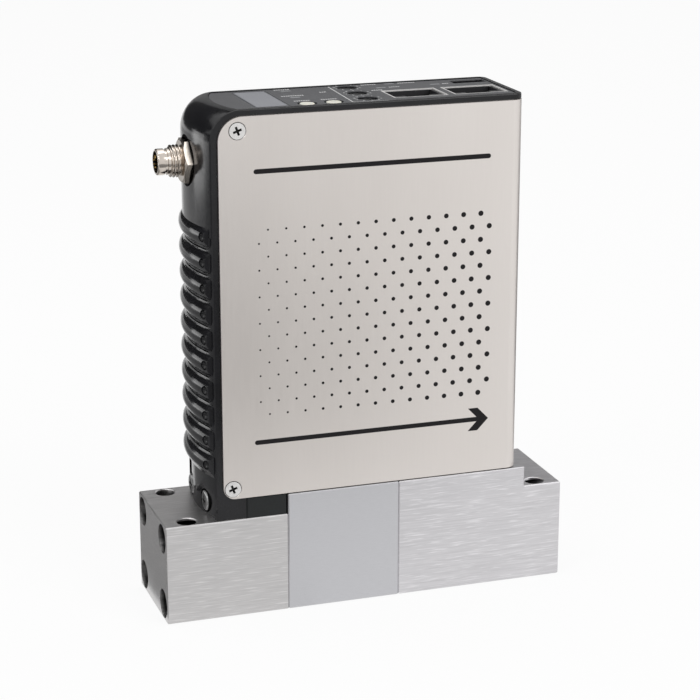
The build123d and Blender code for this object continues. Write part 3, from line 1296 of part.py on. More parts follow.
def valve_spring():
    """The return spring between the plunger and the fixed pole."""
    gap = 0.02
    z0 = plunger_low_z() + PLUNGER_LENGTH - SPRING_POCKET_DEPTH + SPRING_WIRE_R + gap
    z1 = core_low_z() - SPRING_WIRE_R - gap
    height = z1 - z0
    route = Helix(pitch=height / SPRING_TURNS, height=height, radius=SPRING_R)
    section = Plane(origin=route @ 0, z_dir=route % 0) * Circle(SPRING_WIRE_R)
    return Pos(VALVE_X, 0, z0) * sweep(section, path=route, is_frenet=True)


def valve_core():
    """The fixed pole with the stud that the coil is held by."""
    top = core_top_z()
    core = rod_z(PLUNGER_R + PLUNGER_GAP, core_low_z(), top, VALVE_X)
    return core + rod_z(STUD_R, top, top + YOKE_WALL + STUD_LENGTH, VALVE_X)


def valve_spool():
    """The coil's moulded spool."""
    z0 = HIGH_TOP + VALVE_FLANGE_T + COIL_SPOOL_GAP
    z1 = core_top_z() - COIL_SPOOL_GAP
    bore = VALVE_TUBE_R + COIL_SPOOL_GAP
    hub = rod_z(bore + COIL_WALL, z0, z1, VALVE_X)
    hub += rod_z(COIL_R, z0, z0 + COIL_WALL, VALVE_X)
    hub += rod_z(COIL_R, z1 - COIL_WALL, z1, VALVE_X)
    return hub - rod_z(bore, 0, HOUSING_TOP, VALVE_X)


def valve_winding():
    z0 = HIGH_TOP + VALVE_FLANGE_T + COIL_SPOOL_GAP + COIL_WALL
    z1 = core_top_z() - COIL_SPOOL_GAP - COIL_WALL
    winding = rod_z(COIL_R - 0.3, z0, z1, VALVE_X)
    return winding - rod_z(VALVE_TUBE_R + COIL_SPOOL_GAP + COIL_WALL, 0, HOUSING_TOP, VALVE_X)


def valve_yoke():
    """The iron can round the coil."""
    z0 = HIGH_TOP + VALVE_FLANGE_T
    z1 = core_top_z()
    can = rod_z(YOKE_R, z0, z1 + YOKE_WALL, VALVE_X)
    can = fillet(can.edges().group_by(Axis.Z)[-1], 0.8)
    can -= rod_z(YOKE_R - YOKE_WALL, 0, z1, VALVE_X)
    return can - rod_z(STUD_R, 0, HOUSING_TOP, VALVE_X)


def valve_nut():
    z0 = core_top_z() + YOKE_WALL
    nut = Pos(VALVE_X, 0, z0) * hexagon(VALVE_NUT_ACROSS, VALVE_NUT_T)
    return nut - rod_z(STUD_R, 0, HOUSING_TOP, VALVE_X)


# ---------------------------------------------------------------- all sub-parts
def main():
    os.makedirs("parts", exist_ok=True)
    save("inlet_block", inlet_block())
    save("centre_block", centre_block())
    save("outlet_block", outlet_block())
    save("inlet_tie_screws", *tie_screws(-1))
    save("outlet_tie_screws", *tie_screws(1))
    save("seam_seals", *seam_seals())

    save("housing", housing())
    save("foot_bracket", foot_bracket())
    save("foot_screws", *foot_screws())
    save("bracket_screws", *bracket_screws())
    save("cover", cover())
    save("cover_screws", *cover_screws())

    save("top_label", top_label())
    save("display_window", display_window())
    save("display_module", display_module())
    save("zero_button", push_button(BUTTONS_X[0]))
    save("select_button", push_button(BUTTONS_X[1]))
    save("button_switches", *button_switches())
    for name, y in zip(("address_dial_high", "address_dial_low", "rate_dial"), DIALS_Y):
        save(name, address_dial(y))
    save("dial_switches", *dial_switches())
    save("status_lights", *status_lights())
    for name, x in zip(("in", "out"), JACKS_X):
        save(f"network_{name}_shield", jack_shield(x))
        save(f"network_{name}_insert", jack_insert(x))
    save("network_contacts", *jack_contacts())
    save("diagnostic_port", diagnostic_port())

    save("panel_board", panel_board())
    save("network_board", network_board())
    save("board_spacers", *board_spacers())
    save("main_board", main_board())
    save("board_chips", *board_chips())
    save("board_header", board_header())
    save("card_guide", card_guide())

    save("connector_shell", connector_shell())
    save("connector_nut", connector_nut())
    save("connector_insert", connector_insert())
    save("connector_pins", *connector_pins())
    save("connector_gasket", connector_gasket())

    save("flow_splitter", flow_splitter())
    save("sensor_base", sensor_base())
    save("sensor_seals", *sensor_seals())
    save("sensor_tube", sensor_tube())
    save("sensor_windings", *sensor_windings())
    save("sensor_can", sensor_can())
    save("sensor_screws", *sensor_screws())

    save("valve_seat", valve_seat())
    save("valve_base", valve_base())
    save("valve_gasket", valve_gasket())
    save("valve_screws", *valve_screws())
    save("valve_plunger", valve_plunger())
    save("valve_seal", valve_seal())
    save("valve_spring", valve_spring())
    save("valve_core", valve_core())
    save("valve_spool", valve_spool())
    save("valve_winding", valve_winding())
    save("valve_yoke", valve_yoke())
    save("valve_nut", valve_nut())


main()
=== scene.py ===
"""Thermal mass flow controller: camera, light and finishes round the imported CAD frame.

Everything is in metres in the CAD's own frame: +X along the gas flow, +Y to the back, +Z up.
"""
import math

import bmesh
import bpy
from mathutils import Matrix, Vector


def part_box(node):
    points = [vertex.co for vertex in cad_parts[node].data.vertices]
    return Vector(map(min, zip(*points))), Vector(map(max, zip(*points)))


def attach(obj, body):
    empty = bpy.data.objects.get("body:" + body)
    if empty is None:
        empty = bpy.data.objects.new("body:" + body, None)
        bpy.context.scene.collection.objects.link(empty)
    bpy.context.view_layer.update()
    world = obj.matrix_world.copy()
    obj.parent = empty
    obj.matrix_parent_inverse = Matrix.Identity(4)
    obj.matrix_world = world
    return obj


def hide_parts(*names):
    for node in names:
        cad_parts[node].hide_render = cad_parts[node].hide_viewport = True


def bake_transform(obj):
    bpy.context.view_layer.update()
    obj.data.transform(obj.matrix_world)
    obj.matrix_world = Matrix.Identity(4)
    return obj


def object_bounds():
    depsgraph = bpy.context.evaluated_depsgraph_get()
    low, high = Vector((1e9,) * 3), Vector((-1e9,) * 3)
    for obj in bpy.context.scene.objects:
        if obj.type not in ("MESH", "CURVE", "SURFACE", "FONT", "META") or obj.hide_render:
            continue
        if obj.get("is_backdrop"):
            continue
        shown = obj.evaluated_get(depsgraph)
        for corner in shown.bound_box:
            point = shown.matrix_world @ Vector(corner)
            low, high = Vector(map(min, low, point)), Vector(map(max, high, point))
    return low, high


MM = 0.001

# ---------------------------------------------------------------- camera and light
CAMERA_AT = (-169.05, -499.97, 218.61)
CAMERA_TARGET = (-0.25, 0.0, 61.97)
CAMERA_LENS = 112.18
SENSOR = 36.0

AMBIENT = 0.62
FLOOR_SIZE = 8.0
FLOOR_GAP = 0.0002
FLOOR_ALBEDO = 0.8
FLOOR_SHADE = 0.09

# name, place and aim in metres, width, height, watts
LAMPS = [
    ("key", (0.75, -1.15, 0.95), (0.0, 0.0, 0.06), 0.9, 0.9, 9.0),
    ("top", (-0.1, 0.25, 1.3), (0.0, 0.0, 0.06), 0.9, 0.6, 3.0),
    ("left", (-0.9, -0.6, 0.9), (0.0, 0.0, 0.06), 0.35, 0.7, 3.0),
    ("ribs", (-0.33, 0.3, 0.08), (-0.03, 0.0, 0.065), 0.14, 0.13, 0.15),
]

# grey studio cards that only reflections see: name, place and aim in metres, width, height, grey
CARDS = [
    ("card_back", (0.54, 1.0, 0.42), (0.54, 0.0, 0.1), 1.0, 0.75, 0.3),
    ("card_back_left", (-0.66, 1.0, 0.42), (-0.66, 0.0, 0.1), 1.4, 0.75, 0.04),
    ("card_left", (-0.95, 0.25, 0.12), (0.0, 0.0, 0.1), 1.1, 0.3, 0.05),
    ("card_floor_left", (-0.3275, 0.13, 0.001), (-0.3275, 0.13, 1.0), 0.547, 0.38, 0.32),
    ("card_floor_back", (-0.331, 0.62, 0.001), (-0.331, 0.62, 1.0), 0.54, 0.6, 0.6),
    ("card_floor_front", (-0.21, -0.44, 0.001), (-0.21, -0.44, 1.0), 0.54, 0.61, 0.26),
    ("card_floor_right", (0.42, 0.3, 0.001), (0.42, 0.3, 1.0), 0.6, 0.56, 0.2),
]

# ---------------------------------------------------------------- print on the cover
PRINT_HALF = 0.6
BAR_X = (-28.4, 30.8)
BAR_Z = 112.45
ARROW_X = (-28.9, 30.6)
ARROW_Z = 44.95
ARROW_TIP = 31.9
ARROW_WING_X = 26.4
ARROW_WING_RISE = 3.0
ARROW_WING_W = 2.6
DOT_FIELD_X = (-25.6, 29.0)
DOT_FIELD_Z = (52.0, 98.4)
DOT_PITCH_X = 4.55
DOT_PITCH_Z = 3.3
DOT_R = (0.25, 0.68)

# ---------------------------------------------------------------- marks on the label
MARK_T = 0.02
MARK_LINE_W = 0.28
DIVIDER = ((-2.2, 11.3), (-3.1, -10.6), (-2.4, -11.1), (6.0, -11.1))
DIAL_PLACES = ((1.9, 8.9), (1.9, 0.9), (1.9, -7.1))
NUMERAL_RADIUS = 3.22
NUMERAL_SIZE = 0.86
STROKE_W = 0.4
STROKE_STEP = 0.58
STROKE_H = 0.72
# left end and middle of each row of strokes, and the number of strokes
STROKE_ROWS = [
    (-16.4, 10.9, 7), (-17.2, 1.9, 10), (-16.2, -5.3, 7), (-9.4, -5.3, 7), (-6.6, 4.6, 3),
    (6.3, 11.2, 7), (16.0, 11.0, 8), (12.0, 6.2, 5), (26.4, 6.8, 3), (6.4, 3.1, 5),
]

# ---------------------------------------------------------------- connector shell
SHELL_Z = 113.4
SHELL_TURNS = 96
SHELL_R = 3.2
THREAD_X = (-46.15, -43.35)
THREAD_PITCH = 0.85
THREAD_CREST = 3.95
THREAD_ROOT = 3.5
THREAD_STEP = 0.05
THREAD_FADE = 0.35
THREAD_RUN_IN = 0.15
# x and radius along the shell ahead of the thread and behind it
SHELL_NOSE = [(-41.0, 2.65), (-49.3, 2.65), (-49.3, 2.9), (-49.15, 3.12), (-48.95, 3.2), (-47.45, 3.2),
              (-47.4, 3.12), (-47.4, 2.88), (-46.8, 2.88), (-46.8, 3.12), (-46.75, 3.2), (-46.2, 3.2)]
SHELL_TAIL = [(-43.3, 3.8), (-36.6, 3.8), (-36.6, 5.4), (-35.1, 5.4), (-35.1, 3.6), (-30.1, 3.6),
              (-30.1, 2.65)]

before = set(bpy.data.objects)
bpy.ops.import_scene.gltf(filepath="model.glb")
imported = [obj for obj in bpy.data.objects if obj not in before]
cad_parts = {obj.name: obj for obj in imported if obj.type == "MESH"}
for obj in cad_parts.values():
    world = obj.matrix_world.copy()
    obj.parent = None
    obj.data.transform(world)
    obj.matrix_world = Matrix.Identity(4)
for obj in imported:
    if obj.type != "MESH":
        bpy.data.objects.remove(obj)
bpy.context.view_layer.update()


def mm(*xyz):
    return Vector(xyz) * MM


# ---------------------------------------------------------------- material nodes
class Surface:
    """One Principled material, with short ways to wire its nodes."""

    def __init__(self, name, metallic=0.0, roughness=0.5, **sockets):
        self.material = bpy.data.materials.new(name)
        self.material.use_nodes = True
        self.tree = self.material.node_tree
        self.tree.nodes.clear()
        self.shader = self.add("ShaderNodeBsdfPrincipled")
        output = self.add("ShaderNodeOutputMaterial")
        self.tree.links.new(self.shader.outputs[0], output.inputs["Surface"])
        self.where = self.add("ShaderNodeTexCoord").outputs["Object"]
        self.set(Metallic=metallic, Roughness=roughness)
        for socket, value in sockets.items():
            self.put(self.shader.inputs[socket.replace("_", " ")], value)

    def add(self, kind, **settings):
        node = self.tree.nodes.new(kind)
        for key, value in settings.items():
            setattr(node, key, value)
        return node

    def put(self, socket, value):
        if isinstance(value, bpy.types.NodeSocket):
            self.tree.links.new(value, socket)
        elif isinstance(value, (tuple, list)) and socket.type == "RGBA":
            socket.default_value = (*value[:3], 1.0)
        else:
            socket.default_value = value

    def set(self, **sockets):
        for socket, value in sockets.items():
            self.put(self.shader.inputs[socket.replace("_", " ")], value)

    def math(self, operation, a, b=0.0, clamp=False):
        node = self.add("ShaderNodeMath", operation=operation, use_clamp=clamp)
        self.put(node.inputs[0], a)
        self.put(node.inputs[1], b)
        return node.outputs[0]

    def scaled(self, scale):
        node = self.add("ShaderNodeVectorMath", operation="MULTIPLY")
        self.put(node.inputs[0], self.where)
        node.inputs[1].default_value = scale
        return node.outputs[0]

    def noise(self, scale, detail=3.0, roughness=0.55, distortion=0.0):
        """Noise of that many cells a metre along x, y and z."""
        node = self.add("ShaderNodeTexNoise")
        self.put(node.inputs["Vector"], self.scaled(scale))
        node.inputs["Scale"].default_value = 1.0
        node.inputs["Detail"].default_value = detail
        node.inputs["Roughness"].default_value = roughness
        node.inputs["Distortion"].default_value = distortion
        return node.outputs["Fac"]

    def span(self, value, low, high, to_low=0.0, to_high=1.0, smooth=False):
        node = self.add("ShaderNodeMapRange", interpolation_type="SMOOTHSTEP" if smooth else "LINEAR")
        for socket, number in zip(node.inputs, (value, low, high, to_low, to_high)):
            self.put(socket, number)
        return node.outputs[0]

    def blend(self, factor, a, b):
        """A colour between a and b."""
        node = self.add("ShaderNodeMix", data_type="RGBA")
        self.put(node.inputs[0], factor)
        self.put(node.inputs[6], a)
        self.put(node.inputs[7], b)
        return node.outputs[2]

    def mix(self, factor, a, b):
        """A number between a and b."""
        node = self.add("ShaderNodeMix", data_type="FLOAT")
        self.put(node.inputs[0], factor)
        self.put(node.inputs[2], a)
        self.put(node.inputs[3], b)
        return node.outputs[0]

    def xyz(self):
        node = self.add("ShaderNodeSeparateXYZ")
        self.put(node.inputs[0], self.where)
        return node.outputs

    def faces(self, axis):
        """1 on faces square to that axis, 0 elsewhere."""
        split = self.add("ShaderNodeSeparateXYZ")
        self.put(split.inputs[0], self.add("ShaderNodeNewGeometry").outputs["Normal"])
        return self.span(self.math("ABSOLUTE", split.outputs[axis]), 0.6, 0.8)

    def bump(self, height, strength, distance):
        node = self.add("ShaderNodeBump")
        node.inputs["Strength"].default_value = strength
        node.inputs["Distance"].default_value = distance * MM
        self.put(node.inputs["Height"], height)
        self.set(Normal=node.outputs[0])


def shade(colour, by):
    return tuple(c * by for c in colour)


def depth_in(s, low, high):
    """How far a point lies inside a box, in metres."""
    least = None
    for value, near, far in zip(s.xyz(), low, high):
        for gap in (s.math("SUBTRACT", value, near), s.math("SUBTRACT", far, value)):
            least = gap if least is None else s.math("MINIMUM", least, gap)
    return least


def brushed(name, colour, streaks, contrast, rough, depth, ends=None, strokes=None, shaded_bores_box=None):
    """Metal with drawn lines.

    streaks and ends are cells a metre on the sides and on the end faces. strokes are the cells of
    short bright scratches. The last argument is a box inside which the bores are painted dark as shade.
    """
    s = Surface(name, metallic=1.0)
    lines = s.noise(streaks, detail=4.0, roughness=0.6)
    if ends:
        lines = s.mix(s.faces(0), lines, s.noise(ends, detail=4.0, roughness=0.6))
    broad = s.noise((30, 30, 30), detail=2.0)
    tone = s.math("ADD", s.span(lines, 0.3, 0.7, 0.0, 0.75), s.span(broad, 0.3, 0.7, 0.0, 0.25))
    metal = s.blend(tone, shade(colour, 1 - contrast), shade(colour, 1 + contrast))
    roughness = s.span(lines, 0.3, 0.7, rough[0], rough[1])
    if strokes:
        scratch = s.span(s.noise(strokes, detail=2.0, roughness=0.5, distortion=0.15), 0.54, 0.74)
        metal = s.blend(s.math("MULTIPLY", scratch, 0.6), metal, shade(colour, 1.45))
    if shaded_bores_box:
        # painted shade: the bores darken and roughen the deeper a point lies inside the box
        painted_shade = s.span(depth_in(s, *shaded_bores_box), 0.3 * MM, 1.1 * MM)
        metal = s.blend(painted_shade, metal, shade(colour, 0.16))
        roughness = s.mix(painted_shade, roughness, 0.3)
    s.set(Base_Color=metal, Roughness=roughness)
    s.bump(lines, 0.35, depth)
    return s


def headed(name, colour, recess, axis, node):
    """Screws whose recess and rim, behind the planes of the heads' faces, are painted dark as shade."""
    s = grained(name, colour, metallic=1.0, rough=0.24, cells=1600, contrast=0.1)
    place = s.xyz()[axis]
    low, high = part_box(node)
    behind = s.math("MINIMUM", s.math("SUBTRACT", place, low[axis]), s.math("SUBTRACT", high[axis], place))
    # painted shade: darker and rougher the further a point lies behind the head's face
    painted_shade = s.span(behind, recess[0] * MM, recess[1] * MM)
    base = s.shader.inputs["Base Color"].links[0].from_socket
    s.set(Base_Color=s.blend(painted_shade, base, shade(colour, 0.05)), Roughness=s.span(painted_shade, 0.0, 1.0, 0.26, 0.5))
    return s


def grained(name, colour, metallic=0.0, rough=0.5, cells=900, contrast=0.15, depth=0.02, **sockets):
    """Moulded, plated or painted stuff with a fine grain and slow changes of tone."""
    s = Surface(name, metallic=metallic, **sockets)
    fine = s.noise((cells, cells, cells), detail=3.0)
    slow = s.noise((60, 60, 60), detail=2.0)
    tone = s.span(s.math("MULTIPLY", s.math("ADD", fine, slow), 0.5), 0.35, 0.65)
    s.set(
        Base_Color=s.blend(tone, shade(colour, 1 - contrast), shade(colour, 1 + contrast)),
        Roughness=s.span(slow, 0.3, 0.7, rough * 0.85, min(1.0, rough * 1.15)),
    )
    s.bump(fine, 0.25, depth)
    return s


def segment(s, across, up, ends, middle):
    """Distance in millimetres from a level line between the two ends."""
    along = s.math("SUBTRACT", across, s.span(across, ends[0], ends[1], ends[0], ends[1]))
    return s.math("SQRT", s.math("ADD", s.math("POWER", along, 2.0),
                                 s.math("POWER", s.math("SUBTRACT", up, middle), 2.0)))


def ink_of(s, distance, half):
    """1 inside that distance and 0 outside, with a soft edge of 0.08 mm."""
    return s.span(distance, half - 0.04, half + 0.04, 1.0, 0.0)


def inside(s, value, low, high):
    return s.math("MULTIPLY", s.math("GREATER_THAN", value, low), s.math("LESS_THAN", value, high))


def cover_print(s):
    """The ink on the cover's front face: a bar, a flow arrow and a field of dots."""
    x, y, z = s.xyz()
    across = s.math("DIVIDE", x, MM)
    up = s.math("DIVIDE", z, MM)
    bar = ink_of(s, segment(s, across, up, BAR_X, BAR_Z), PRINT_HALF)
    shaft = ink_of(s, segment(s, across, up, ARROW_X, ARROW_Z), PRINT_HALF)

    rise = s.math("ABSOLUTE", s.math("SUBTRACT", up, ARROW_Z))
    slope = (ARROW_TIP - ARROW_WING_X - ARROW_WING_W) / ARROW_WING_RISE
    front = s.math("SUBTRACT", ARROW_TIP, s.math("MULTIPLY", rise, slope))
    back = s.math("SUBTRACT", front, ARROW_WING_W)
    behind = s.math("SUBTRACT", front, across)
    ahead = s.math("SUBTRACT", across, back)
    chevron = s.math("MULTIPLY", s.span(s.math("MINIMUM", behind, ahead), -0.04, 0.04),
                     s.span(rise, ARROW_WING_RISE - 0.04, ARROW_WING_RISE + 0.04, 1.0, 0.0))

    row = s.math("DIVIDE", s.math("SUBTRACT", up, DOT_FIELD_Z[0]), DOT_PITCH_Z)
    row_no = s.math("ROUND", row)
    stagger = s.math("MULTIPLY", s.math("PINGPONG", row_no, 1.0), 0.5)
    column = s.math("DIVIDE", s.math("SUBTRACT", across, DOT_FIELD_X[0]), DOT_PITCH_X)
    column = s.math("SUBTRACT", column, stagger)
    column_no = s.math("ROUND", column)
    side = s.math("MULTIPLY", s.math("SUBTRACT", column, column_no), DOT_PITCH_X)
    over = s.math("MULTIPLY", s.math("SUBTRACT", row, row_no), DOT_PITCH_Z)
    spot = s.math("SQRT", s.math("ADD", s.math("POWER", side, 2.0), s.math("POWER", over, 2.0)))
    columns = round((DOT_FIELD_X[1] - DOT_FIELD_X[0]) / DOT_PITCH_X)
    rows = round((DOT_FIELD_Z[1] - DOT_FIELD_Z[0]) / DOT_PITCH_Z)
    radius = s.span(s.math("ADD", column_no, stagger), 0, columns, DOT_R[0], DOT_R[1])
    dot = s.span(s.math("SUBTRACT", spot, radius), -0.04, 0.04, 1.0, 0.0)
    field = s.math("MULTIPLY", inside(s, row_no, -0.5, rows + 0.5),
                   inside(s, s.math("ADD", column_no, stagger), -0.6, columns + 0.6))
    dots = s.math("MULTIPLY", dot, field)

    ink = s.math("MAXIMUM", s.math("MAXIMUM", bar, shaft), s.math("MAXIMUM", chevron, dots))
    face_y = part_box("cover")[0].y
    return s.math("MULTIPLY", ink, s.math("LESS_THAN", y, face_y + 0.1 * MM))


def cover_finish():
    s = Surface("cover_satin_steel", Specular_IOR_Level=0.12)
    lines = s.noise((2200, 2200, 120), detail=4.0, roughness=0.6)
    slow = s.noise((22, 22, 9), detail=2.0)
    tone = s.math("ADD", s.span(lines, 0.3, 0.7, 0.0, 0.2), s.span(slow, 0.3, 0.7, 0.0, 0.8))
    steel = s.blend(tone, (0.665, 0.625, 0.595), (0.73, 0.69, 0.66))
    ink = cover_print(s)
    s.set(
        Base_Color=s.blend(ink, steel, (0.012, 0.011, 0.012)),
        Metallic=s.span(ink, 0.0, 1.0, 1.0, 0.0),
        Roughness=s.mix(ink, s.span(lines, 0.3, 0.7, 0.36, 0.4), 0.45),
    )
    s.bump(lines, 0.1, 0.006)
    return s


def housing_finish():
    s = Surface("housing_gloss_black", Specular_IOR_Level=0.32)
    pebble = s.noise((1500, 1500, 1500), detail=2.0)
    wave = s.noise((140, 140, 140), detail=2.0)
    s.set(
        Base_Color=s.blend(s.span(wave, 0.3, 0.7), (0.006, 0.006, 0.007), (0.01, 0.01, 0.012)),
        Roughness=s.span(pebble, 0.35, 0.65, 0.12, 0.2),
    )
    s.bump(s.math("ADD", s.math("MULTIPLY", pebble, 0.35), wave), 0.25, 0.03)
    return s


def display_finish():
    """A tinted window with a faint frame line near its edge."""
    s = Surface("display_tinted", roughness=0.3)
    x, y, _ = s.xyz()
    low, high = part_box("display_window")
    middle = (low + high) / 2
    half = (high - low) / 2
    edge_x = s.math("DIVIDE", s.math("ABSOLUTE", s.math("SUBTRACT", x, middle.x)), half.x)
    edge_y = s.math("DIVIDE", s.math("ABSOLUTE", s.math("SUBTRACT", y, middle.y)), half.y)
    edge = s.span(s.math("MAXIMUM", edge_x, s.math("POWER", edge_y, 2.2)), 0.86, 0.97, smooth=True)
    haze = s.noise((90, 60, 60), detail=2.0)
    glass = s.blend(s.span(haze, 0.3, 0.7), (0.26, 0.265, 0.29), (0.29, 0.295, 0.32))
    s.set(Base_Color=s.blend(edge, glass, (0.085, 0.088, 0.1)))
    s.bump(haze, 0.1, 0.02)
    return s


def board_finish():
    """Green laminate with lighter tracks."""
    s = Surface("board_laminate", roughness=0.42, Coat_Weight=0.3)
    tracks = s.noise((700, 160, 700), detail=1.0)
    cross = s.noise((160, 700, 160), detail=1.0)
    line = s.math("MAXIMUM", s.span(tracks, 0.56, 0.58), s.span(cross, 0.58, 0.6))
    s.set(Base_Color=s.blend(line, (0.015, 0.12, 0.06), (0.05, 0.26, 0.12)))
    s.bump(line, 0.3, 0.03)
    return s


def winding_finish(name, colour, turns):
    """Enamelled wire wound round a vertical or level spool, turns a metre, with painted shade in the grooves
    between the turns.
    """
    s = Surface(name, metallic=0.85, roughness=0.35)
    wave = s.add("ShaderNodeTexWave", wave_type="BANDS", bands_direction="Z")
    s.put(wave.inputs["Vector"], s.where)
    wave.inputs["Scale"].default_value = turns
    wave.inputs["Distortion"].default_value = 0.6
    # painted shade: the colour darkens where the bands dip between the turns
    s.set(Base_Color=s.blend(wave.outputs["Fac"], shade(colour, 0.55), colour))
    s.bump(wave.outputs["Fac"], 0.6, 0.05)
    return s


def assign(surface, *names):
    for name in names:
        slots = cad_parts[name].data.materials
        if len(slots) == 0:
            slots.append(surface.material)
        for place in range(len(slots)):
            slots[place] = surface.material


def dress():
    """A finish for every CAD node."""
    inlet_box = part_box("inlet_block")
    outlet_low, outlet_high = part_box("outlet_block")
    outlet_box = (outlet_low, Vector((outlet_high.x, outlet_high.y, inlet_box[1].z)))
    # the part boxes passed last bound where the bores get painted shade
    inlet_steel = brushed("steel_inlet", (0.56, 0.55, 0.55), (110, 3000, 3000), 0.12, (0.3, 0.42), 0.015,
                          (3000, 200, 2400), (150, 3000, 3000), inlet_box)
    outlet_steel = brushed("steel_outlet", (0.6, 0.59, 0.605), (60, 2800, 2800), 0.12, (0.3, 0.42), 0.015,
                           (3000, 200, 2400), (190, 3200, 3200), outlet_box)
    centre_steel = brushed("steel_centre", (0.54, 0.54, 0.56), (500, 3500, 3500), 0.035, (0.28, 0.34), 0.006)
    screw_steel = grained("screw_steel", (0.6, 0.59, 0.58), metallic=1.0, rough=0.24, cells=1600,
                          contrast=0.1)
    cover_screw = headed("cover_screw_steel", (0.74, 0.73, 0.72), (0.12, 0.3), 1, "cover_screws")
    foot_screw = headed("foot_screw_steel", (0.3, 0.3, 0.3), (0.3, 0.6), 0, "foot_screws")
    tie_steel = grained("tie_steel", (0.16, 0.16, 0.17), metallic=1.0, rough=0.4, cells=1600, contrast=0.2)
    nickel = grained("nickel_plate", (0.6, 0.545, 0.49), metallic=1.0, rough=0.16, cells=1200, contrast=0.06,
                     depth=0.008)
    jack_metal = grained("plated_sheet", (0.55, 0.54, 0.53), metallic=1.0, rough=0.3, cells=1400,
                         contrast=0.12, depth=0.01)
    rim_metal = grained("tinned_rim", (0.72, 0.71, 0.7), metallic=0.15, rough=0.36, cells=1400, contrast=0.1,
                        depth=0.01)
    gold = grained("contact_gold", (0.83, 0.62, 0.25), metallic=1.0, rough=0.2, cells=1600, contrast=0.06,
                   depth=0.005)
    anodised = grained("bracket_anodised", (0.009, 0.0105, 0.011), rough=0.34, cells=2200, contrast=0.25,
                       depth=0.02, Specular_IOR_Level=0.3)
    label = grained("label_film", (0.072, 0.073, 0.078), rough=0.52, cells=2600, contrast=0.08, depth=0.012)
    cream = grained("button_cream", (0.78, 0.75, 0.66), rough=0.38, cells=1200, contrast=0.05, depth=0.01,
                    Subsurface_Weight=0.05)
    dial = grained("dial_black", (0.012, 0.012, 0.013), rough=0.4, cells=1800, contrast=0.2, depth=0.015)
    frosted = grained("light_frosted", (0.3, 0.31, 0.32), rough=0.3, cells=1800, contrast=0.12, depth=0.01,
                      Coat_Weight=0.4)
    jack_black = grained("jack_moulding", (0.016, 0.016, 0.018), rough=0.45, cells=1800, contrast=0.2,
                         depth=0.02)
    chip = grained("chip_moulding", (0.03, 0.03, 0.031), rough=0.55, cells=2600, contrast=0.2, depth=0.02)
    guide = grained("guide_moulding", (0.68, 0.68, 0.64), rough=0.5, cells=1200, contrast=0.05, depth=0.015)
    rubber = grained("seal_rubber", (0.02, 0.02, 0.02), rough=0.65, cells=1500, contrast=0.2, depth=0.03)
    seal_ring = brushed("seal_ring", (0.6, 0.58, 0.53), (900, 900, 4000), 0.08, (0.22, 0.3), 0.006)
    turned = brushed("turned_steel", (0.56, 0.56, 0.56), (500, 500, 3200), 0.1, (0.26, 0.36), 0.01)
    iron = brushed("plated_iron", (0.4, 0.4, 0.42), (600, 600, 2600), 0.12, (0.34, 0.46), 0.015)

    assign(inlet_steel, "inlet_block")
    assign(centre_steel, "centre_block")
    assign(outlet_steel, "outlet_block")
    assign(tie_steel, "inlet_tie_screws", "outlet_tie_screws")
    assign(seal_ring, "seam_seals", "valve_gasket")
    assign(housing_finish(), "housing")
    assign(anodised, "foot_bracket")
    assign(screw_steel, "bracket_screws", "sensor_screws", "valve_screws", "valve_nut")
    assign(cover_screw, "cover_screws")
    assign(foot_screw, "foot_screws")
    assign(cover_finish(), "cover")
    assign(label, "top_label")
    assign(display_finish(), "display_window")
    assign(chip, "display_module", "button_switches", "board_chips", "board_header")
    assign(cream, "zero_button", "select_button")
    assign(dial, "address_dial_high", "address_dial_low", "rate_dial")
    assign(jack_black, "dial_switches", "network_in_insert", "network_out_insert", "connector_insert")
    assign(frosted, "status_lights")
    assign(rim_metal, "network_in_shield", "network_out_shield", "diagnostic_port")
    assign(jack_metal, "board_spacers", "sensor_can")
    assign(gold, "network_contacts", "connector_pins")
    assign(board_finish(), "panel_board", "network_board", "main_board")
    assign(guide, "card_guide", "valve_spool")
    assign(nickel, "connector_shell", "connector_nut", "valve_spring")
    assign(rubber, "connector_gasket", "sensor_seals", "valve_seal")
    assign(turned, "flow_splitter", "sensor_base", "sensor_tube", "valve_seat", "valve_base")
    assign(iron, "valve_plunger", "valve_core", "valve_yoke")
    assign(winding_finish("sensor_winding", (0.62, 0.34, 0.16), 4000), "sensor_windings")
    assign(winding_finish("coil_winding", (0.6, 0.32, 0.15), 1400), "valve_winding")
    return nickel


# ---------------------------------------------------------------- pieces of the scene
def piece(name, mesh, surface):
    obj = bpy.data.objects.new(name, mesh)
    bpy.context.scene.collection.objects.link(obj)
    obj.data.materials.clear()
    obj.data.materials.append(surface.material)
    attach(obj, "base")
    return obj


def add_slab(bm, corners, z, thickness):
    """A thin plate on the label from its corners, counter-clockwise from above, in millimetres."""
    top = [bm.verts.new(mm(x, y, z + thickness)) for x, y in corners]
    low = [bm.verts.new(mm(x, y, z)) for x, y in corners]
    bm.faces.new(top)
    bm.faces.new(low[::-1])
    for here in range(len(corners)):
        nxt = (here + 1) % len(corners)
        bm.faces.new((top[here], low[here], low[nxt], top[nxt]))


def add_bar(bm, start, end, width, z):
    along = Vector((end[0] - start[0], end[1] - start[1])).normalized()
    side = Vector((-along.y, along.x)) * width / 2
    a, b = Vector(start), Vector(end)
    add_slab(bm, [a - side, b - side, b + side, a + side], z, MARK_T)


def label_marks(white):
    """The divider and the rows of strokes, printed on the label."""
    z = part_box("top_label")[1].z / MM
    bm = bmesh.new()
    for start, end in zip(DIVIDER, DIVIDER[1:]):
        add_bar(bm, start, end, MARK_LINE_W, z)
    for left, middle, count in STROKE_ROWS:
        for number in range(count):
            x = left + number * STROKE_STEP
            add_bar(bm, (x, middle), (x + STROKE_W, middle), STROKE_H, z)
    mesh = bpy.data.meshes.new("label_marks")
    bm.to_mesh(mesh)
    bm.free()
    piece("label_marks", mesh, white)


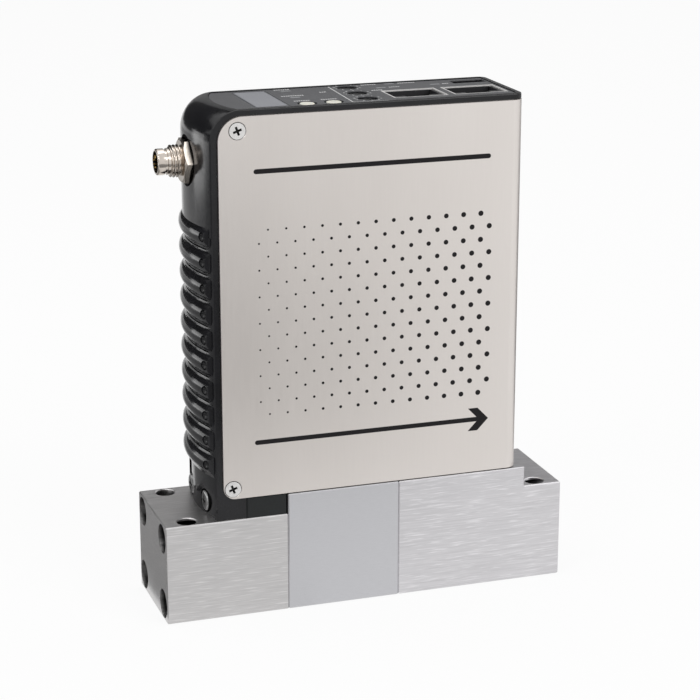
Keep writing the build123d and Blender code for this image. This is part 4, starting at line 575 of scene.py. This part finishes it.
def dial_numerals(white):
    """Plain numbers 0 to 9 round each dial, as one mesh, without one that would leave the label."""
    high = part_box("top_label")[1] / MM
    bm = bmesh.new()
    for x0, y0 in DIAL_PLACES:
        for number in range(10):
            turn = math.radians(90 - 36 * number)
            x = x0 + NUMERAL_RADIUS * math.cos(turn)
            y = y0 + NUMERAL_RADIUS * math.sin(turn)
            if y + NUMERAL_SIZE / 2 > high.y:
                continue
            curve = bpy.data.curves.new("numeral", "FONT")
            curve.body = str(number)
            curve.size = NUMERAL_SIZE * MM * 1.25
            curve.align_x = "CENTER"
            curve.align_y = "CENTER"
            curve.extrude = MARK_T * MM / 2
            curve.resolution_u = 3
            text = bpy.data.objects.new("numeral", curve)
            mesh = bpy.data.meshes.new_from_object(text)
            for vertex in mesh.vertices:
                vertex.co += mm(x, y, high.z + MARK_T / 2)
            bm.from_mesh(mesh)
            bpy.data.objects.remove(text)
            bpy.data.curves.remove(curve)
            bpy.data.meshes.remove(mesh)
    mesh = bpy.data.meshes.new("dial_numerals")
    bm.to_mesh(mesh)
    bm.free()
    piece("dial_numerals", mesh, white)


def thread_radius(x, turn):
    """The thread's radius at x, a rounded triangle along a helix that fades in and out."""
    phase = ((x - THREAD_X[0]) / THREAD_PITCH - turn) % 1.0
    crest = 0.5 - 0.5 * math.cos(2 * math.pi * phase)
    crest = min(1.0, max(0.0, 1.25 * crest - 0.12))
    fade = min(1.0, (x - THREAD_X[0]) / THREAD_FADE, (THREAD_X[1] - x) / THREAD_FADE)
    root = SHELL_R + (THREAD_ROOT - SHELL_R) * min(1.0, (x - THREAD_X[0]) / THREAD_RUN_IN)
    return root + (THREAD_CREST - THREAD_ROOT) * crest * max(0.0, fade)


def threaded_shell(nickel):
    """The connector's shell with its thread cut, in place of the plain CAD node."""
    steps = round((THREAD_X[1] - THREAD_X[0]) / THREAD_STEP)
    cuts = [THREAD_X[0] + (THREAD_X[1] - THREAD_X[0]) * step / steps for step in range(steps + 1)]
    bm = bmesh.new()
    rings = []
    for number in range(SHELL_TURNS):
        turn = number / SHELL_TURNS
        angle = 2 * math.pi * turn
        profile = SHELL_NOSE + [(x, thread_radius(x, turn)) for x in cuts] + SHELL_TAIL
        rings.append([bm.verts.new(mm(x, r * math.cos(angle), SHELL_Z + r * math.sin(angle)))
                      for x, r in profile])
    for number in range(SHELL_TURNS):
        here, nxt = rings[number], rings[(number + 1) % SHELL_TURNS]
        for place in range(len(here)):
            after = (place + 1) % len(here)
            bm.faces.new((here[place], nxt[place], nxt[after], here[after]))
    bmesh.ops.recalc_face_normals(bm, faces=bm.faces)
    mesh = bpy.data.meshes.new("threaded_shell")
    bm.to_mesh(mesh)
    bm.free()
    for face in mesh.polygons:
        face.use_smooth = True
    mesh.set_sharp_from_angle(angle=math.radians(35))
    shell = piece("threaded_shell", mesh, nickel)
    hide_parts("connector_shell")


def coil_spring(nickel):
    """The valve's return spring, a rigid copy of the CAD node's mesh shown in place of that node."""
    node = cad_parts["valve_spring"]
    spring = bpy.data.objects.new("coil_spring", node.data.copy())
    bpy.context.scene.collection.objects.link(spring)
    spring.matrix_world = node.matrix_world
    spring.data.materials.clear()
    spring.data.materials.append(nickel.material)
    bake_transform(spring)
    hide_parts("valve_spring")


# ---------------------------------------------------------------- stage
def seen_by_eye(nodes, links):
    """1 for rays from the camera, from a mirror or through glass, 0 for the rest."""
    path = nodes.new("ShaderNodeLightPath")
    total = path.outputs["Is Camera Ray"]
    for ray in ("Is Glossy Ray", "Is Transmission Ray"):
        node = nodes.new("ShaderNodeMath")
        node.operation = "MAXIMUM"
        links.new(total, node.inputs[0])
        links.new(path.outputs[ray], node.inputs[1])
        total = node.outputs[0]
    return total


def make_world():
    world = bpy.data.worlds.new("studio")
    world.use_nodes = True
    nodes, links = world.node_tree.nodes, world.node_tree.links
    back = nodes["Background"]
    strength = nodes.new("ShaderNodeMapRange")
    links.new(seen_by_eye(nodes, links), strength.inputs[0])
    strength.inputs[3].default_value = AMBIENT
    strength.inputs[4].default_value = 1.0
    back.inputs["Color"].default_value = (1, 1, 1, 1)
    links.new(strength.outputs[0], back.inputs["Strength"])
    bpy.context.scene.world = world


def plate(name, width, height, material):
    """A flat piece of the stage, facing up."""
    x, y = width / 2, height / 2
    mesh = bpy.data.meshes.new(name)
    mesh.from_pydata([(-x, -y, 0), (x, -y, 0), (x, y, 0), (-x, y, 0)], [], [(0, 1, 2, 3)])
    mesh.materials.append(material)
    obj = bpy.data.objects.new(name, mesh)
    bpy.context.scene.collection.objects.link(obj)
    obj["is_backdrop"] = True
    return obj


def make_floor():
    """A white floor whose own shade is thinned for the eye, so that it stays white and keeps the shadow."""
    material = bpy.data.materials.new("floor_white")
    material.use_nodes = True
    nodes, links = material.node_tree.nodes, material.node_tree.links
    nodes.clear()
    output = nodes.new("ShaderNodeOutputMaterial")
    matt = nodes.new("ShaderNodeBsdfDiffuse")
    matt.inputs["Color"].default_value = (FLOOR_ALBEDO, FLOOR_ALBEDO, FLOOR_ALBEDO, 1)
    white = nodes.new("ShaderNodeEmission")
    white.inputs["Color"].default_value = (1, 1, 1, 1)
    white.inputs["Strength"].default_value = 1.0
    share = nodes.new("ShaderNodeMath")
    share.operation = "MULTIPLY"
    share.inputs[1].default_value = 1 - FLOOR_SHADE
    links.new(seen_by_eye(nodes, links), share.inputs[0])
    mixed = nodes.new("ShaderNodeMixShader")
    links.new(share.outputs[0], mixed.inputs[0])
    links.new(matt.outputs[0], mixed.inputs[1])
    links.new(white.outputs[0], mixed.inputs[2])
    links.new(mixed.outputs[0], output.inputs["Surface"])
    floor = plate("floor", FLOOR_SIZE, FLOOR_SIZE, material)
    floor.location.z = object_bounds()[0].z - FLOOR_GAP


def aim(obj, target):
    obj.rotation_euler = (Vector(target) - obj.location).to_track_quat("-Z", "Y").to_euler()


def make_lamps():
    for name, place, target, width, height, watts in LAMPS:
        data = bpy.data.lights.new(name, "AREA")
        data.shape = "RECTANGLE"
        data.size = width
        data.size_y = height
        data.energy = watts
        lamp = bpy.data.objects.new(name, data)
        lamp.location = place
        aim(lamp, target)
        bpy.context.scene.collection.objects.link(lamp)


def make_cards():
    for name, place, target, width, height, grey in CARDS:
        material = bpy.data.materials.new(name)
        material.use_nodes = True
        shader = material.node_tree.nodes["Principled BSDF"]
        shader.inputs["Base Color"].default_value = (grey, grey, grey, 1)
        shader.inputs["Roughness"].default_value = 1.0
        card = plate(name, width, height, material)
        card.location = place
        aim(card, target)
        card.visible_camera = False
        card.visible_diffuse = False
        card.visible_shadow = False


def make_camera():
    data = bpy.data.cameras.new("camera")
    data.sensor_width = SENSOR
    data.lens = CAMERA_LENS
    data.clip_start = 0.01
    data.clip_end = 20.0
    camera = bpy.data.objects.new("camera", data)
    camera.location = mm(*CAMERA_AT)
    aim(camera, mm(*CAMERA_TARGET))
    bpy.context.scene.collection.objects.link(camera)
    bpy.context.scene.camera = camera


make_camera()
make_world()
make_floor()
make_lamps()
make_cards()
bpy.context.scene.view_settings.view_transform = "Standard"
nickel_finish = dress()
mark_white = grained("mark_ink", (0.62, 0.62, 0.62), rough=0.5, cells=1500, contrast=0.06, depth=0.005)
label_marks(mark_white)
dial_numerals(mark_white)
threaded_shell(nickel_finish)
coil_spring(nickel_finish)
